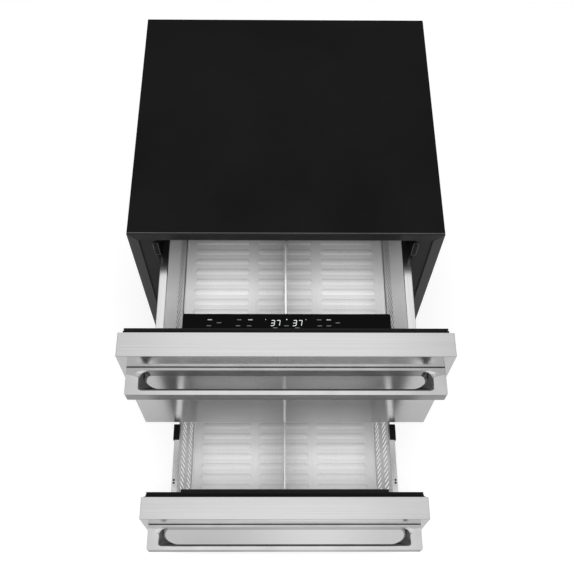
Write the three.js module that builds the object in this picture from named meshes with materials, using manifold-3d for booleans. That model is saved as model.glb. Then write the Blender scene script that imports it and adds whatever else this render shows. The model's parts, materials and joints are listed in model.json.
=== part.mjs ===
// Undercounter refrigerator with two drawers, drawn with both drawers partly open.
// Millimetres. X runs to the right, Y to the back and Z up. The cabinet is drawn with its
// front face on Y = 0 and its feet on Z = 0; the whole is then centred over its footprint.

import * as THREE from 'three';
import { mergeVertices } from 'three/addons/utils/BufferGeometryUtils.js';
import Module from 'manifold-3d';

const wasm = await Module();
wasm.setup();

// Clearances
const fitGap = 0.3;            // between pieces that seat on each other
const runGap = 0.6;            // between pieces that slide or turn past each other
const overshoot = 1;           // how far a cutting shape runs past the face it cuts
const overlap = 1;             // how far two shapes reach into each other to be joined

// Cabinet
const cabinetWidth = 603;
const cabinetHeight = 874;
const panelSheet = 1.2;        // steel of the outer panels
const stileWidth = 19.5;
const topRailHeight = 22;
const frameThickness = 3;
const toeHeight = 95;
const toeDepth = 50;
const baseClearance = 20;      // floor to the underside of the base pan

// Insulated compartments
const linerWall = 2;
const linerCornerRadius = 6;
const linerLip = 8;            // how far the liner flange reaches behind the stiles
const coverDepth = 60;         // evaporator cover's face to the liner's back wall
const backInsulation = 44;
const compartmentHeadroom = 2; // between a rail's lower edge and the liner's ceiling
const floorInsulation = 25;

// Drawer fronts
const upperOpen = 184.3;       // how far each drawer stands open at rest
const lowerOpen = 388;
const frontThickness = 45.9;
const frontEdgeRadius = 1.5;
const frontSheet = 1.2;        // steel of the pan that makes a drawer front
const topReveal = 10.9;        // cabinet top down to the upper front
const frontSpacing = 13.4;     // between the two fronts
const frontFloorGap = 100.3;   // floor up to the lower front's bottom edge
const closedGap = 13;          // front's back face to the cabinet face when shut
const gasketInset = 4;
const gasketWidth = 10;
const gasketDepth = 12.2;
const gasketLip = 2.5;
const gasketLap = 0.4;
const doorLinerRadius = 3;

// Handles
const handleInset = 11.5;
const handleDrop = 51;         // front's top edge to the top of the handle
const handleReach = 52.4;
const handleBarHeight = 30;
const handleRailHeight = 26;
const handleRailDepth = 6;
const handleBarDepth = 11;
const handleChamfer = 4.5;
const handleChamferDrop = 1.6;
const handleEndWidth = 23;
const handleScoop = 11;        // how much longer the end blocks grow towards their underside
const handleRimRadius = 4;
const handleBackScoopRadius = 8;
const handleFrontScoopRadius = 15;
const handleEdgeRadius = 2;
const handleWaistDrop = 16.5;  // top of the casting down to where the scoops begin to round
const handleWaistShare = 0.6;  // share of the full scoop already there at that height

// Bins
const binFootRise = 118.7;     // lower front's bottom edge up to its bin's floor
const binLength = 430;
const binSheet = 1.2;
const binFloorWidth = 447;
const binLean = 6;             // how far each side wall leans out from floor to rim
const upperBinDrop = 66;       // front's top edge down to the bin's rim
const lowerBinDrop = 32;
const binSideGap = 6;          // the wider bin's rim to the liner wall
const upperFlangeWidth = 16;
const lowerFlangeWidth = 14;
const lowerFlangeLength = 155;
const ribPitch = 25.4;
const ribWidth = 13;
const ribRise = 2;
const ribStart = 20.3;         // bin floor's front edge to the first rib
const ribInnerEnd = 60.5;      // half length of the middle column of ribs
const ribSideStart = 80;
const ribSideEnd = 202;
const slotPitch = 11.5;
const slotWidth = 5.5;
const slotMargin = 14;         // bare wall at each end of a row of slots
const lowSlotRise = 25;        // floor up to the lower row of slots
const slotBand = 44;           // bare wall between the two rows
const highSlotDrop = 33;       // rim down to the upper row
const dividerSheet = 1.2;
const dividerDrop = 8;         // rim down to the top of the divider
const upperDividerWidth = 9;
const lowerDividerWidth = 4;

// Control housing of the upper drawer and ledge of the lower one
const controlWidth = 374;
const controlDepth = 32;
const controlHeight = 34;
const controlDrop = 14.6;      // front's top edge down to the glass
const controlEdge = 3;
const controlFootDepth = 14.4;
const controlSlopeRise = 17;
const ledgeWidth = 444;
const ledgeDepth = 8.5;
const ledgeDrop = 20.5;
const ledgeHeight = 10;

// Telescopic slides under the bins
const slideHeight = 35;
const slideThickness = 12.7;
const slideSheet = 1.2;
const slideLip = 9.7;
const slideInset = 18.7;       // bin floor's edge in to the slide's web
const slideFrontGap = 6;
const slideShelf = 25;         // shelf of the drawer member, under the bin floor
const slideRise = 4;           // slide's top edge up to the shelf's top
const slideFlange = 26;        // upright flange against the liner wall
const slideFloorGap = 2;        // liner's corner up to the foot of the fixed member

// Levelling legs
const footRadius = 19;
const footHeight = 10;
const stemRadius = 5;
const stemHeight = 62;
const bossRadius = 11;
const bossHeight = 22;
const footTaperRadius = 8.5;
const legSideInset = 48;
const frontLegPlace = 76;
const rearLegInset = 52;

// Base pan and grille
const panSheet = 1.5;
const panFlange = 14;
const grilleSheet = 1.5;
const grilleSlotLength = 120;
const grilleSlotHeight = 4;
const grilleSlotPitch = 11;
const grilleBar = 16;

// Cooling circuit
const compressorRadius = 76;
const compressorHeight = 104;
const compressorSeam = 54;     // height of the weld between the can's two halves
const compressorBand = 3;
const compressorPlateX = 80;
const compressorPlateY = 55;
const compressorPlateSheet = 3;
const grommetHeight = 8;
const grommetRadius = 8;
const terminalBoxWidth = 40;
const terminalBoxHeight = 46;
const terminalBoxRise = 22;
const pipeRise = 62;
const pipeSpread = 20;
const compressorSquash = 0.84;
const machineGap = 5.5;        // between a foot and what stands beside it on the base pan
const compressorBackGap = 50.5;
const condenserWidth = 190;
const condenserDepth = 46;
const condenserHeight = 104;
const condenserY = 92;
const condenserFins = 9;
const evaporatorWidth = 330;
const evaporatorDepth = 34;
const evaporatorHeight = 120;
const evaporatorRise = 32;     // compartment floor up to the evaporator
const evaporatorFins = 9;
const coolerTubeRadius = 4;
const coolerFinSheet = 1.4;
const coolerEndSheet = 2.2;
const coolerTubeOverhang = 9;
const coolerTubeLevels = [0.3, 0.7];
const condenserFinRise = 3;    // base pan up to the fins, which stand on their end plates
const coverFrontGap = 10;      // shut bin's back to the evaporator cover
const coverSheet = 2;
const coverSideGap = 12;
const returnSlots = 7;
const returnSlotLength = 40;
const returnSlotPitch = 60;
const fanGuardWidth = 108;
const fanGuardDepth = 16;
const fanGuardSheet = 2;
const fanRingWall = 2.4;
const fanRingDepth = 32;
const fanRadius = 46;
const fanHubRadius = 15;
const fanDepth = 14;
const fanBlades = 5;
const fanBladeSheet = 1.6;
const fanPitch = 0.5;          // blade angle, radians
const fanTipGap = 3;
const fanMotorRadius = 17;
const fanMotorDepth = 22;
const fanShaftRadius = 3;
const fanArmWidth = 7;
const fanArmDepth = 4;
const condenserFanY = 128;
const trayLength = 150;
const trayWidth = 200;
const trayHeight = 20;
const trayWall = 1.5;
const trayBackGap = 41.3;

// Back panel openings and power inlet
const ventLength = 60;
const ventHeight = 5;
const ventPitch = 13;
const inletWidth = 47;
const inletHeight = 27;
const inletDepth = 26;
const inletSideInset = 75;
const inletZ = 78;
const inletFlange = 6;
const inletRecess = 17;
const inletWall = 3;
const inletEarthRise = 3;      // how far the middle pin stands above the other two
const inletPinWidth = 2;
const inletPinHeight = 4.5;
const inletPinLength = 15;
const inletPinPitch = 7;

// Sizes and places worked out from the sizes above
const frontHeight = (cabinetHeight - topReveal - frontSpacing - frontFloorGap) / 2;
const binHeight = frontHeight - lowerBinDrop - binFootRise;
const slotHeight = (binHeight - lowSlotRise - slotBand - highSlotDrop) / 2;
const highSlotRise = lowSlotRise + slotHeight + slotBand;
const slideLength = binLength;
const compartmentDepth = binLength + coverFrontGap + coverDepth;
const cabinetDepth = compartmentDepth + linerWall + backInsulation + panelSheet + fitGap * 2;
const halfWidth = cabinetWidth / 2;
const halfOpening = binFloorWidth / 2 + binLean + upperFlangeWidth + binSideGap;
const stileInner = halfWidth - stileWidth;
const upperFrontTop = cabinetHeight - topReveal;
const lowerFrontTop = upperFrontTop - frontHeight - frontSpacing;
const upperRim = upperFrontTop - upperBinDrop;
const lowerRim = lowerFrontTop - lowerBinDrop;
const slideStack = binSheet + fitGap + slideRise + slideHeight + slideSheet + slideFloorGap
  + linerCornerRadius;
const upperCavity = {
  floor: upperRim - binHeight - slideStack,
  ceiling: cabinetHeight - topRailHeight - compartmentHeadroom,
};
const midRailBottom = lowerFrontTop - gasketInset - gasketWidth - gasketInset;
const lowerCavity = {
  floor: lowerRim - binHeight - slideStack,
  ceiling: midRailBottom - compartmentHeadroom,
};
const flangeFront = frameThickness + fitGap;
const foamFront = flangeFront + linerWall + fitGap;
const foamBottom = lowerCavity.floor - linerWall - fitGap - floorInsulation;
const deckTop = foamBottom - fitGap;
const panTop = baseClearance + panSheet;
const innerHalfWidth = halfWidth - panelSheet - fitGap;
const backInside = cabinetDepth - panelSheet - fitGap;
const legPlaces = {
  front_left: [-halfWidth + legSideInset, frontLegPlace],
  front_right: [halfWidth - legSideInset, frontLegPlace],
  rear_left: [-halfWidth + legSideInset, cabinetDepth - rearLegInset],
  rear_right: [halfWidth - legSideInset, cabinetDepth - rearLegInset],
};
const slideWeb = binFloorWidth / 2 - slideInset;
const coverFront = binLength + coverFrontGap;
const machineSide = halfWidth - legSideInset - footRadius - machineGap;
const compressorX = machineSide - compressorPlateX - coolerTubeOverhang;
const condenserX = -machineSide + coolerTubeOverhang + condenserWidth / 2;
const compressorY = backInside - compressorBackGap - compressorRadius * compressorSquash;
const trayX = -machineSide + trayWidth / 2;
const trayY = backInside - trayBackGap - trayLength / 2;
const inletX = -innerHalfWidth + inletSideInset;
const condenserFanX = condenserX;
const condenserFanZ = panTop + fitGap + fanGuardWidth / 2;
const evaporatorFanZ = upperCavity.ceiling - coverSideGap - fanRadius - fanTipGap * 3;

// Finishes
const finish = (color, roughness, metalness) =>
  new THREE.MeshStandardMaterial({ color, roughness, metalness });
const blackSteel = finish(0x1d1d1e, 0.55, 0.3);
const frameSteel = finish(0x454546, 0.5, 0.4);
const brushedSteel = finish(0xc6c6c4, 0.32, 1);
const polishedSteel = finish(0xd8d8d6, 0.16, 1);
const binSteel = finish(0xcfcfcd, 0.36, 0.9);
const slideSteel = finish(0xb9bab8, 0.4, 0.9);
const liningPlastic = finish(0x303031, 0.6, 0);
const doorPlastic = finish(0x1a1a1b, 0.5, 0);
const glossBlack = finish(0x060606, 0.08, 0.1);
const gasketRubber = finish(0x161616, 0.75, 0);
const foam = finish(0xe2d3a0, 0.9, 0);
const zincSteel = finish(0x9a9c9c, 0.45, 0.8);
const compressorBlack = finish(0x111112, 0.4, 0.2);
const coilMetal = finish(0x8d8f90, 0.5, 0.7);
const fanPlastic = finish(0x232425, 0.55, 0);
const footRubber = finish(0x202020, 0.8, 0);

// Solids ------------------------------------------------------------------------------

// A closed geometry as a solid that can be joined and cut.
function solid(geometry) {
  const bare = geometry.clone();
  bare.deleteAttribute('normal');
  bare.deleteAttribute('uv');
  const merged = mergeVertices(bare, 1e-4);
  const vertProperties = new Float32Array(merged.attributes.position.array);
  const triVerts = new Uint32Array(merged.index.array);
  return new wasm.Manifold(new wasm.Mesh({ numProp: 3, vertProperties, triVerts }));
}

function geometryOf(body) {
  const mesh = body.getMesh();
  const geometry = new THREE.BufferGeometry();
  geometry.setAttribute('position', new THREE.BufferAttribute(mesh.vertProperties, 3));
  geometry.setIndex(new THREE.BufferAttribute(mesh.triVerts, 1));
  geometry.computeVertexNormals();
  return geometry;
}

function join(...geometries) {
  return geometryOf(geometries.map(solid).reduce((body, next) => body.add(next)));
}

function cut(geometry, ...tools) {
  return geometryOf(tools.map(solid).reduce((body, tool) => body.subtract(tool), solid(geometry)));
}

function common(first, second) {
  return geometryOf(solid(first).intersect(solid(second)));
}

function block(x0, x1, y0, y1, z0, z1) {
  const geometry = new THREE.BoxGeometry(x1 - x0, y1 - y0, z1 - z0);
  return geometry.translate((x0 + x1) / 2, (y0 + y1) / 2, (z0 + z1) / 2);
}

function outline(points) {
  return new THREE.Shape(points.map(([a, b]) => new THREE.Vector2(a, b)));
}

function rectangle(a0, a1, b0, b1) {
  return outline([[a0, b0], [a1, b0], [a1, b1], [a0, b1]]);
}

function roundedRectangle(a0, a1, b0, b1, radius) {
  const shape = new THREE.Shape();
  shape.moveTo(a0 + radius, b0);
  shape.lineTo(a1 - radius, b0);
  shape.absarc(a1 - radius, b0 + radius, radius, -Math.PI / 2, 0);
  shape.lineTo(a1, b1 - radius);
  shape.absarc(a1 - radius, b1 - radius, radius, 0, Math.PI / 2);
  shape.lineTo(a0 + radius, b1);
  shape.absarc(a0 + radius, b1 - radius, radius, Math.PI / 2, Math.PI);
  shape.lineTo(a0, b0 + radius);
  shape.absarc(a0 + radius, b0 + radius, radius, Math.PI, Math.PI * 1.5);
  return shape;
}

function extrude(shape, depth, curveSegments = 3) {
  return new THREE.ExtrudeGeometry(shape, { depth, bevelEnabled: false, curveSegments });
}

// An X-Z outline given a thickness from y0 to y1.
function plateAcross(shape, y0, y1, curveSegments) {
  return extrude(shape, y1 - y0, curveSegments).rotateX(Math.PI / 2).translate(0, y1, 0);
}

// A Y-Z outline given a thickness from x0 to x1.
function plateAlong(shape, x0, x1, curveSegments) {
  const geometry = extrude(shape, x1 - x0, curveSegments);
  return geometry.rotateX(Math.PI / 2).rotateZ(Math.PI / 2).translate(x0, 0, 0);
}

// An X-Y outline given a thickness from z0 to z1.
function plateFlat(shape, z0, z1, curveSegments) {
  return extrude(shape, z1 - z0, curveSegments).translate(0, 0, z0);
}

// An upright round bar, or one that lies along Y.
function post(x, y, z0, z1, radius, sides = 8) {
  const geometry = new THREE.CylinderGeometry(radius, radius, z1 - z0, sides);
  return geometry.rotateX(Math.PI / 2).translate(x, y, (z0 + z1) / 2);
}

function barAlongY(x, z, y0, y1, radius, sides = 16) {
  const geometry = new THREE.CylinderGeometry(radius, radius, y1 - y0, sides);
  return geometry.translate(x, (y0 + y1) / 2, z);
}

function barAlongX(y, z, x0, x1, radius, sides = 6) {
  const geometry = new THREE.CylinderGeometry(radius, radius, x1 - x0, sides);
  return geometry.rotateZ(Math.PI / 2).translate((x0 + x1) / 2, y, z);
}

// A closed skin over rings of equally many points, first ring lowest.
function loft(rings) {
  const count = rings[0].length;
  const positions = rings.flat().flatMap((point) => [point.x, point.y, point.z]);
  const faces = [];
  for (let level = 0; level + 1 < rings.length; level += 1) {
    for (let i = 0; i < count; i += 1) {
      const next = (i + 1) % count;
      const low = level * count;
      const high = low + count;
      faces.push(low + i, low + next, high + next);
      faces.push(low + i, high + next, high + i);
    }
  }
  const top = (rings.length - 1) * count;
  for (let i = 1; i + 1 < count; i += 1) {
    faces.push(0, i + 1, i);
    faces.push(top, top + i, top + i + 1);
  }
  const geometry = new THREE.BufferGeometry();
  geometry.setAttribute('position', new THREE.Float32BufferAttribute(positions, 3));
  geometry.setIndex(faces);
  return geometry;
}

function addPiece(group, name, geometry, material) {
  const mesh = new THREE.Mesh(geometry, material);
  mesh.name = name;
  group.add(mesh);
}

// Cabinet -----------------------------------------------------------------------------

function sidePanel(side) {
  const shape = outline([
    [flangeFront, toeHeight],
    [toeDepth, toeHeight],
    [toeDepth, baseClearance],
    [cabinetDepth, baseClearance],
    [cabinetDepth, cabinetHeight - panelSheet - fitGap],
    [flangeFront, cabinetHeight - panelSheet - fitGap],
  ]);
  const outer = side * halfWidth;
  const inner = side * (halfWidth - panelSheet);
  return plateAlong(shape, Math.min(outer, inner), Math.max(outer, inner));
}

function topPanel() {
  const top = cabinetHeight;
  return block(-halfWidth, halfWidth, flangeFront, cabinetDepth, top - panelSheet, top);
}

function backPanel() {
  const top = cabinetHeight - panelSheet - fitGap;
  const halfInlet = inletWidth / 2 + fitGap;
  const inletRise = inletHeight / 2 + fitGap;
  const holes = [rectangle(
    inletX - halfInlet, inletX + halfInlet, inletZ - inletRise, inletZ + inletRise)];
  for (const x of [compressorX - ventLength - ventPitch / 2, compressorX + ventPitch / 2]) {
    for (let z = panTop + ventPitch; z < deckTop - ventPitch; z += ventPitch) {
      holes.push(rectangle(x, x + ventLength, z, z + ventHeight));
    }
  }
  return cut(
    block(-innerHalfWidth, innerHalfWidth, cabinetDepth - panelSheet, cabinetDepth,
      baseClearance, top),
    plateAcross(holes, backInside, cabinetDepth + fitGap));
}

// The face frame's top rail and stiles meet in mitres.
function topRail() {
  const bottom = cabinetHeight - topRailHeight;
  const shape = outline([
    [-halfWidth, cabinetHeight],
    [-stileInner, bottom],
    [stileInner, bottom],
    [halfWidth, cabinetHeight],
  ]);
  return plateAcross(shape, 0, frameThickness);
}

function stile(side) {
  const shape = outline([
    [side * halfWidth, toeHeight],
    [side * halfWidth, cabinetHeight - fitGap * 1.5],
    [side * stileInner, cabinetHeight - topRailHeight - fitGap * 1.5],
    [side * stileInner, toeHeight],
  ]);
  return plateAcross(shape, 0, frameThickness);
}

function midRail() {
  const halfRail = stileInner - fitGap;
  return block(-halfRail, halfRail, 0, frameThickness, midRailBottom, upperCavity.floor);
}

// The bottom rail turns back under the cabinet as the ceiling of the toe space.
function bottomRail() {
  const halfRail = stileInner - fitGap;
  const face = outline([
    [0, toeHeight],
    [toeDepth - fitGap, toeHeight],
    [toeDepth - fitGap, toeHeight + frameThickness],
    [frameThickness, toeHeight + frameThickness],
    [frameThickness, lowerCavity.floor],
    [0, lowerCavity.floor],
  ]);
  return plateAlong(face, -halfRail, halfRail);
}

function tubOutline(cavity, grow) {
  return roundedRectangle(
    -halfOpening - grow, halfOpening + grow, cavity.floor - grow, cavity.ceiling + grow,
    linerCornerRadius + grow);
}

// A compartment's liner: a tub with a flange that tucks in behind the face frame.
function liner(cavity) {
  const halfFlange = stileInner + linerLip;
  const flange = rectangle(
    -halfFlange, halfFlange, cavity.floor - linerLip, cavity.ceiling + linerLip);
  flange.holes.push(tubOutline(cavity, 0));
  const back = compartmentDepth + linerWall;
  const tub = cut(
    plateAcross(tubOutline(cavity, linerWall), flangeFront + linerWall / 2, back, 1),
    plateAcross(tubOutline(cavity, 0), 0, compartmentDepth, 1));
  return join(plateAcross(flange, flangeFront, flangeFront + linerWall, 1), tub);
}

function insulation() {
  const top = cabinetHeight - panelSheet - fitGap;
  const body = block(
    -innerHalfWidth, innerHalfWidth, foamFront, backInside, foamBottom, top);
  const tubBack = compartmentDepth + linerWall + fitGap;
  const pockets = [upperCavity, lowerCavity].map((cavity) =>
    plateAcross(tubOutline(cavity, linerWall + fitGap), 0, tubBack, 1));
  return cut(body, ...pockets);
}

function deck() {
  return block(-innerHalfWidth, innerHalfWidth, foamFront, backInside,
    deckTop - panelSheet, deckTop);
}

// Base ----------------------------------------------------------------------------------

function basePan() {
  const front = toeDepth + grilleSheet + fitGap * 2;
  const shell = cut(
    block(-innerHalfWidth, innerHalfWidth, front, backInside,
      baseClearance, baseClearance + panFlange),
    block(-innerHalfWidth + panSheet, innerHalfWidth - panSheet,
      front + panSheet, backInside - panSheet, panTop, cabinetHeight));
  const bosses = Object.values(legPlaces).map(([x, y]) =>
    post(x, y, baseClearance + panSheet / 2, baseClearance + bossHeight, bossRadius));
  const bores = Object.values(legPlaces).map(([x, y]) =>
    post(x, y, 0, cabinetHeight, stemRadius + runGap));
  return cut(join(shell, ...bosses), ...bores);
}

function levellingLeg([x, y]) {
  const half = footHeight / 2;
  const foot = new THREE.LatheGeometry([
    new THREE.Vector2(0, 0),
    new THREE.Vector2(footRadius, 0),
    new THREE.Vector2(footRadius, half),
    new THREE.Vector2(footTaperRadius, footHeight),
    new THREE.Vector2(0, footHeight),
  ], 12).rotateX(Math.PI / 2).translate(x, y, 0);
  return join(foot, post(x, y, half, stemHeight, stemRadius, 10));
}

function kickGrille() {
  const low = baseClearance;
  const high = toeHeight - fitGap;
  const span = grilleSlotLength + grilleBar;
  const columns = Math.floor((innerHalfWidth * 2 - grilleBar) / span);
  const rows = Math.floor((high - low - grilleBar) / grilleSlotPitch);
  const left = -(columns * span - grilleBar) / 2;
  const bottom = (low + high - (rows - 1) * grilleSlotPitch - grilleSlotHeight) / 2;
  const slots = [];
  for (let column = 0; column < columns; column += 1) {
    for (let row = 0; row < rows; row += 1) {
      const x = left + column * span;
      const z = bottom + row * grilleSlotPitch;
      slots.push(rectangle(x, x + grilleSlotLength, z, z + grilleSlotHeight));
    }
  }
  const front = toeDepth + fitGap;
  return cut(
    block(-innerHalfWidth, innerHalfWidth, front, front + grilleSheet, low, high),
    plateAcross(slots, toeDepth, front + grilleSheet * 2));
}

// Cooling circuit -----------------------------------------------------------------------

// One half of the compressor's can, from its pole out to the weld.
function bowl(radius, rise) {
  const steps = 4;
  return Array.from({ length: steps + 1 }, (_, i) => {
    const angle = (Math.PI / 2) * (i / steps);
    return [radius * Math.sqrt(Math.sin(angle)), rise * (1 - Math.sqrt(Math.cos(angle)))];
  });
}

// A welded can on a foot plate with four grommets, a terminal box and two stub pipes.
function compressor() {
  const plateBottom = panTop + fitGap + grommetHeight;
  const wall = compressorRadius - compressorBand;
  const lower = bowl(wall, compressorSeam);
  const upper = bowl(wall, compressorHeight - compressorSeam)
    .map(([radius, rise]) => [radius, compressorHeight - rise]).reverse();
  const band = [-compressorBand, compressorBand]
    .map((rise) => [compressorRadius, compressorSeam + rise]);
  const profile = [...lower.slice(0, -1), [wall, compressorSeam - compressorBand], ...band,
    [wall, compressorSeam + compressorBand], ...upper.slice(1)];
  const can = new THREE.LatheGeometry(profile.map(([r, h]) => new THREE.Vector2(r, h)), 14)
    .rotateX(Math.PI / 2);
  can.scale(1, compressorSquash, 1).translate(compressorX, compressorY, plateBottom);
  const plate = block(compressorX - compressorPlateX, compressorX + compressorPlateX,
    compressorY - compressorPlateY, compressorY + compressorPlateY,
    plateBottom, plateBottom + compressorPlateSheet);
  const grommets = [[-1, -1], [1, -1], [-1, 1], [1, 1]].map(([i, j]) =>
    post(compressorX + i * (compressorPlateX - grommetRadius * 1.5),
      compressorY + j * (compressorPlateY - grommetRadius * 1.5),
      plateBottom - grommetHeight, plateBottom + grommetHeight, grommetRadius, 6));
  const terminalBox = block(
    compressorX - compressorPlateX, compressorX - compressorPlateX / 2,
    compressorY - terminalBoxWidth / 2, compressorY + terminalBoxWidth / 2,
    plateBottom + terminalBoxRise, plateBottom + terminalBoxRise + terminalBoxHeight);
  const pipes = [-pipeSpread, pipeSpread].map((offset) =>
    barAlongX(compressorY + offset, plateBottom + pipeRise,
      compressorX, compressorX + compressorPlateX + coolerTubeOverhang, coolerTubeRadius));
  return join(can, plate, ...grommets, terminalBox, ...pipes);
}

// Thin upright fins on tubes that run across, between two stouter end plates.
function finBlock({ x, y, z, width, depth, height, fins, footTo, backTo }) {
  const parts = [];
  for (let i = 0; i < fins; i += 1) {
    const end = i === 0 || i === fins - 1;
    const half = (end ? coolerEndSheet : coolerFinSheet) / 2;
    const place = x - width / 2 + (width * i) / (fins - 1);
    const low = end ? footTo : z;
    const back = end ? backTo : y + depth / 2;
    parts.push(block(place - half, place + half, y - depth / 2, back, low, z + height));
  }
  const reach = width / 2 + coolerTubeOverhang;
  for (const level of coolerTubeLevels) {
    parts.push(barAlongX(y, z + height * level, x - reach, x + reach, coolerTubeRadius));
  }
  return join(...parts);
}

function condenser() {
  return finBlock({
    x: condenserX,
    y: condenserY,
    z: panTop + condenserFinRise,
    width: condenserWidth,
    depth: condenserDepth,
    height: condenserHeight,
    fins: condenserFins,
    footTo: panTop + fitGap,
    backTo: condenserY + condenserDepth / 2,
  });
}

function evaporator() {
  const y = compartmentDepth - fitGap - evaporatorDepth;
  return finBlock({
    x: 0,
    y,
    z: upperCavity.floor + evaporatorRise,
    width: evaporatorWidth,
    depth: evaporatorDepth,
    height: evaporatorHeight,
    fins: evaporatorFins,
    footTo: upperCavity.floor + evaporatorRise,
    backTo: compartmentDepth - fitGap,
  });
}

// A fan motor with its shaft, held by three arms that reach out to the guard.
function fanMotor(x, z, y0, reach) {
  const arms = [0, 1, 2].map((i) => {
    const arm = block(0, reach, y0 + (fanMotorDepth - fanArmDepth) / 2,
      y0 + (fanMotorDepth + fanArmDepth) / 2, -fanArmWidth / 2, fanArmWidth / 2);
    return arm.rotateY((i * Math.PI * 2) / 3 + Math.PI / 6).translate(x, 0, z);
  });
  const can = barAlongY(x, z, y0, y0 + fanMotorDepth, fanMotorRadius, 12);
  const shaft = barAlongY(x, z, y0 - fanDepth, y0 + overlap, fanShaftRadius, 8);
  return [can, shaft, ...arms];
}

function fanBlade(x, z, y0) {
  const bore = barAlongY(0, 0, -fanDepth, fanDepth, fanShaftRadius + fitGap, 8);
  const hub = cut(
    barAlongY(0, 0, -fanDepth / 2, fanDepth / 2, fanHubRadius, 10),
    bore);
  const sweep = (Math.PI * 2) / fanBlades * 0.74;
  const vane = new THREE.Shape();
  vane.absarc(0, 0, fanRadius, -sweep / 2, sweep / 2, false);
  vane.absarc(0, 0, fanHubRadius * 0.75, sweep / 2, -sweep / 2, true);
  const blades = [];
  for (let i = 0; i < fanBlades; i += 1) {
    const blade = plateAcross(vane, -fanBladeSheet / 2, fanBladeSheet / 2, 1);
    blades.push(blade.rotateX(fanPitch).rotateY((i * Math.PI * 2) / fanBlades));
  }
  const limit = barAlongY(0, 0, -fanDepth / 2, fanDepth / 2, fanRadius, 18);
  return cut(common(join(hub, ...blades), limit), bore).translate(x, y0 + fanDepth / 2, z);
}

function condenserFanGuard() {
  const half = fanGuardWidth / 2;
  const opening = fanRadius + fanTipGap;
  const ringBack = condenserFanY + fanRingDepth;
  const face = block(condenserFanX - half, condenserFanX + half,
    condenserFanY, condenserFanY + fanGuardSheet,
    condenserFanZ - half, condenserFanZ + half);
  const ring = barAlongY(condenserFanX, condenserFanZ, condenserFanY + fanGuardSheet / 2,
    ringBack, opening + fanRingWall, 18);
  const bore = barAlongY(condenserFanX, condenserFanZ, condenserFanY - overshoot,
    ringBack + overshoot, opening, 18);
  const motorFront = condenserFanY + fanGuardDepth + runGap;
  return join(cut(join(face, ring), bore),
    ...fanMotor(condenserFanX, condenserFanZ, motorFront, opening + fanRingWall / 2));
}

function evaporatorCover() {
  const halfCover = halfOpening - coverSideGap;
  const low = upperCavity.floor + coverSideGap;
  const high = upperCavity.ceiling - coverSideGap;
  const back = compartmentDepth - fitGap;
  const shell = cut(
    block(-halfCover, halfCover, coverFront, back, low, high),
    block(-halfCover + coverSheet, halfCover - coverSheet,
      coverFront + coverSheet, cabinetDepth, low + coverSheet, high - coverSheet));
  const opening = barAlongY(0, evaporatorFanZ, 0, coverFront + coverSheet * 2,
    fanRadius + fanTipGap, 18);
  const returns = Array.from({ length: returnSlots }, (_, i) => {
    const place = (i - (returnSlots - 1) / 2) * returnSlotPitch;
    return block(place - returnSlotLength / 2, place + returnSlotLength / 2,
      0, coverFront + coverSheet * 2, low + coverSideGap, low + coverSideGap + ventHeight);
  });
  return join(
    cut(shell, opening, ...returns),
    ...fanMotor(0, evaporatorFanZ, coverFront + coverSheet + fanDepth + runGap,
      fanRadius + fanTipGap * 2),
    ...[0, 1, 2].map((i) => evaporatorFanPost(i)));
}

// The evaporator fan's arms end on three posts that stand on the back of the cover.
function evaporatorFanPost(i) {
  const reach = fanRadius + fanTipGap * 2;
  const angle = (i * Math.PI * 2) / 3 + Math.PI / 6;
  const armBack = coverFront + coverSheet + fanDepth + runGap
    + (fanMotorDepth + fanArmDepth) / 2;
  return barAlongY(reach * Math.cos(angle), evaporatorFanZ - reach * Math.sin(angle),
    coverFront + coverSheet / 2, armBack, fanArmWidth / 2, 6);
}

function dripTray() {
  const seat = panTop + fitGap;
  const [halfX, halfY] = [trayWidth / 2, trayLength / 2];
  return cut(
    block(trayX - halfX, trayX + halfX, trayY - halfY, trayY + halfY, seat, seat + trayHeight),
    block(trayX - halfX + trayWall, trayX + halfX - trayWall,
      trayY - halfY + trayWall, trayY + halfY - trayWall, seat + trayWall, cabinetHeight));
}

// A three-pin appliance inlet, flush with the back panel and flanged behind it.
function powerInlet() {
  const [halfX, halfZ] = [inletWidth / 2, inletHeight / 2];
  const front = cabinetDepth - inletDepth;
  const flangeBack = cabinetDepth - panelSheet - fitGap;
  const body = block(inletX - halfX, inletX + halfX, front, cabinetDepth - fitGap,
    inletZ - halfZ, inletZ + halfZ);
  const flange = block(inletX - halfX - inletFlange, inletX + halfX + inletFlange,
    flangeBack - panelSheet * 2, flangeBack, inletZ - halfZ - inletFlange,
    inletZ + halfZ + inletFlange);
  const floor = cabinetDepth - fitGap - inletRecess;
  const socket = block(inletX - halfX + inletWall, inletX + halfX - inletWall,
    floor, cabinetDepth + overshoot,
    inletZ - halfZ + inletWall, inletZ + halfZ - inletWall);
  const pins = [[-1, 0], [0, 1], [1, 0]].map(([i, j]) => block(
    inletX + i * inletPinPitch - inletPinWidth / 2, inletX + i * inletPinPitch + inletPinWidth / 2,
    floor - overlap, floor + inletPinLength,
    inletZ + j * inletEarthRise - inletPinHeight / 2,
    inletZ + j * inletEarthRise + inletPinHeight / 2));
  return join(cut(join(body, flange), socket), ...pins);
}

// Slides --------------------------------------------------------------------------------

// Each member is one section run along Y. Sections are drawn outward from the slide's web
// line, with their foot at 0, and turned over for the left-hand side.
function slideMember(side, section, foot) {
  const shape = outline(section.map(([u, v]) => [side * (slideWeb + u), foot + v]));
  return plateAcross(shape, slideFrontGap, slideFrontGap + slideLength);
}

function fixedSection() {
  const t = slideSheet;
  const lipEnd = slideThickness - slideLip;
  const wall = halfOpening - fitGap - slideWeb;
  return [
    [lipEnd, 0], [lipEnd, -t], [wall, -t], [wall, slideFlange], [wall - t, slideFlange],
    [wall - t, 0], [slideThickness, 0], [slideThickness, slideHeight],
    [lipEnd, slideHeight], [lipEnd, slideHeight - t],
    [slideThickness - t, slideHeight - t], [slideThickness - t, 0],
  ];
}

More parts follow.
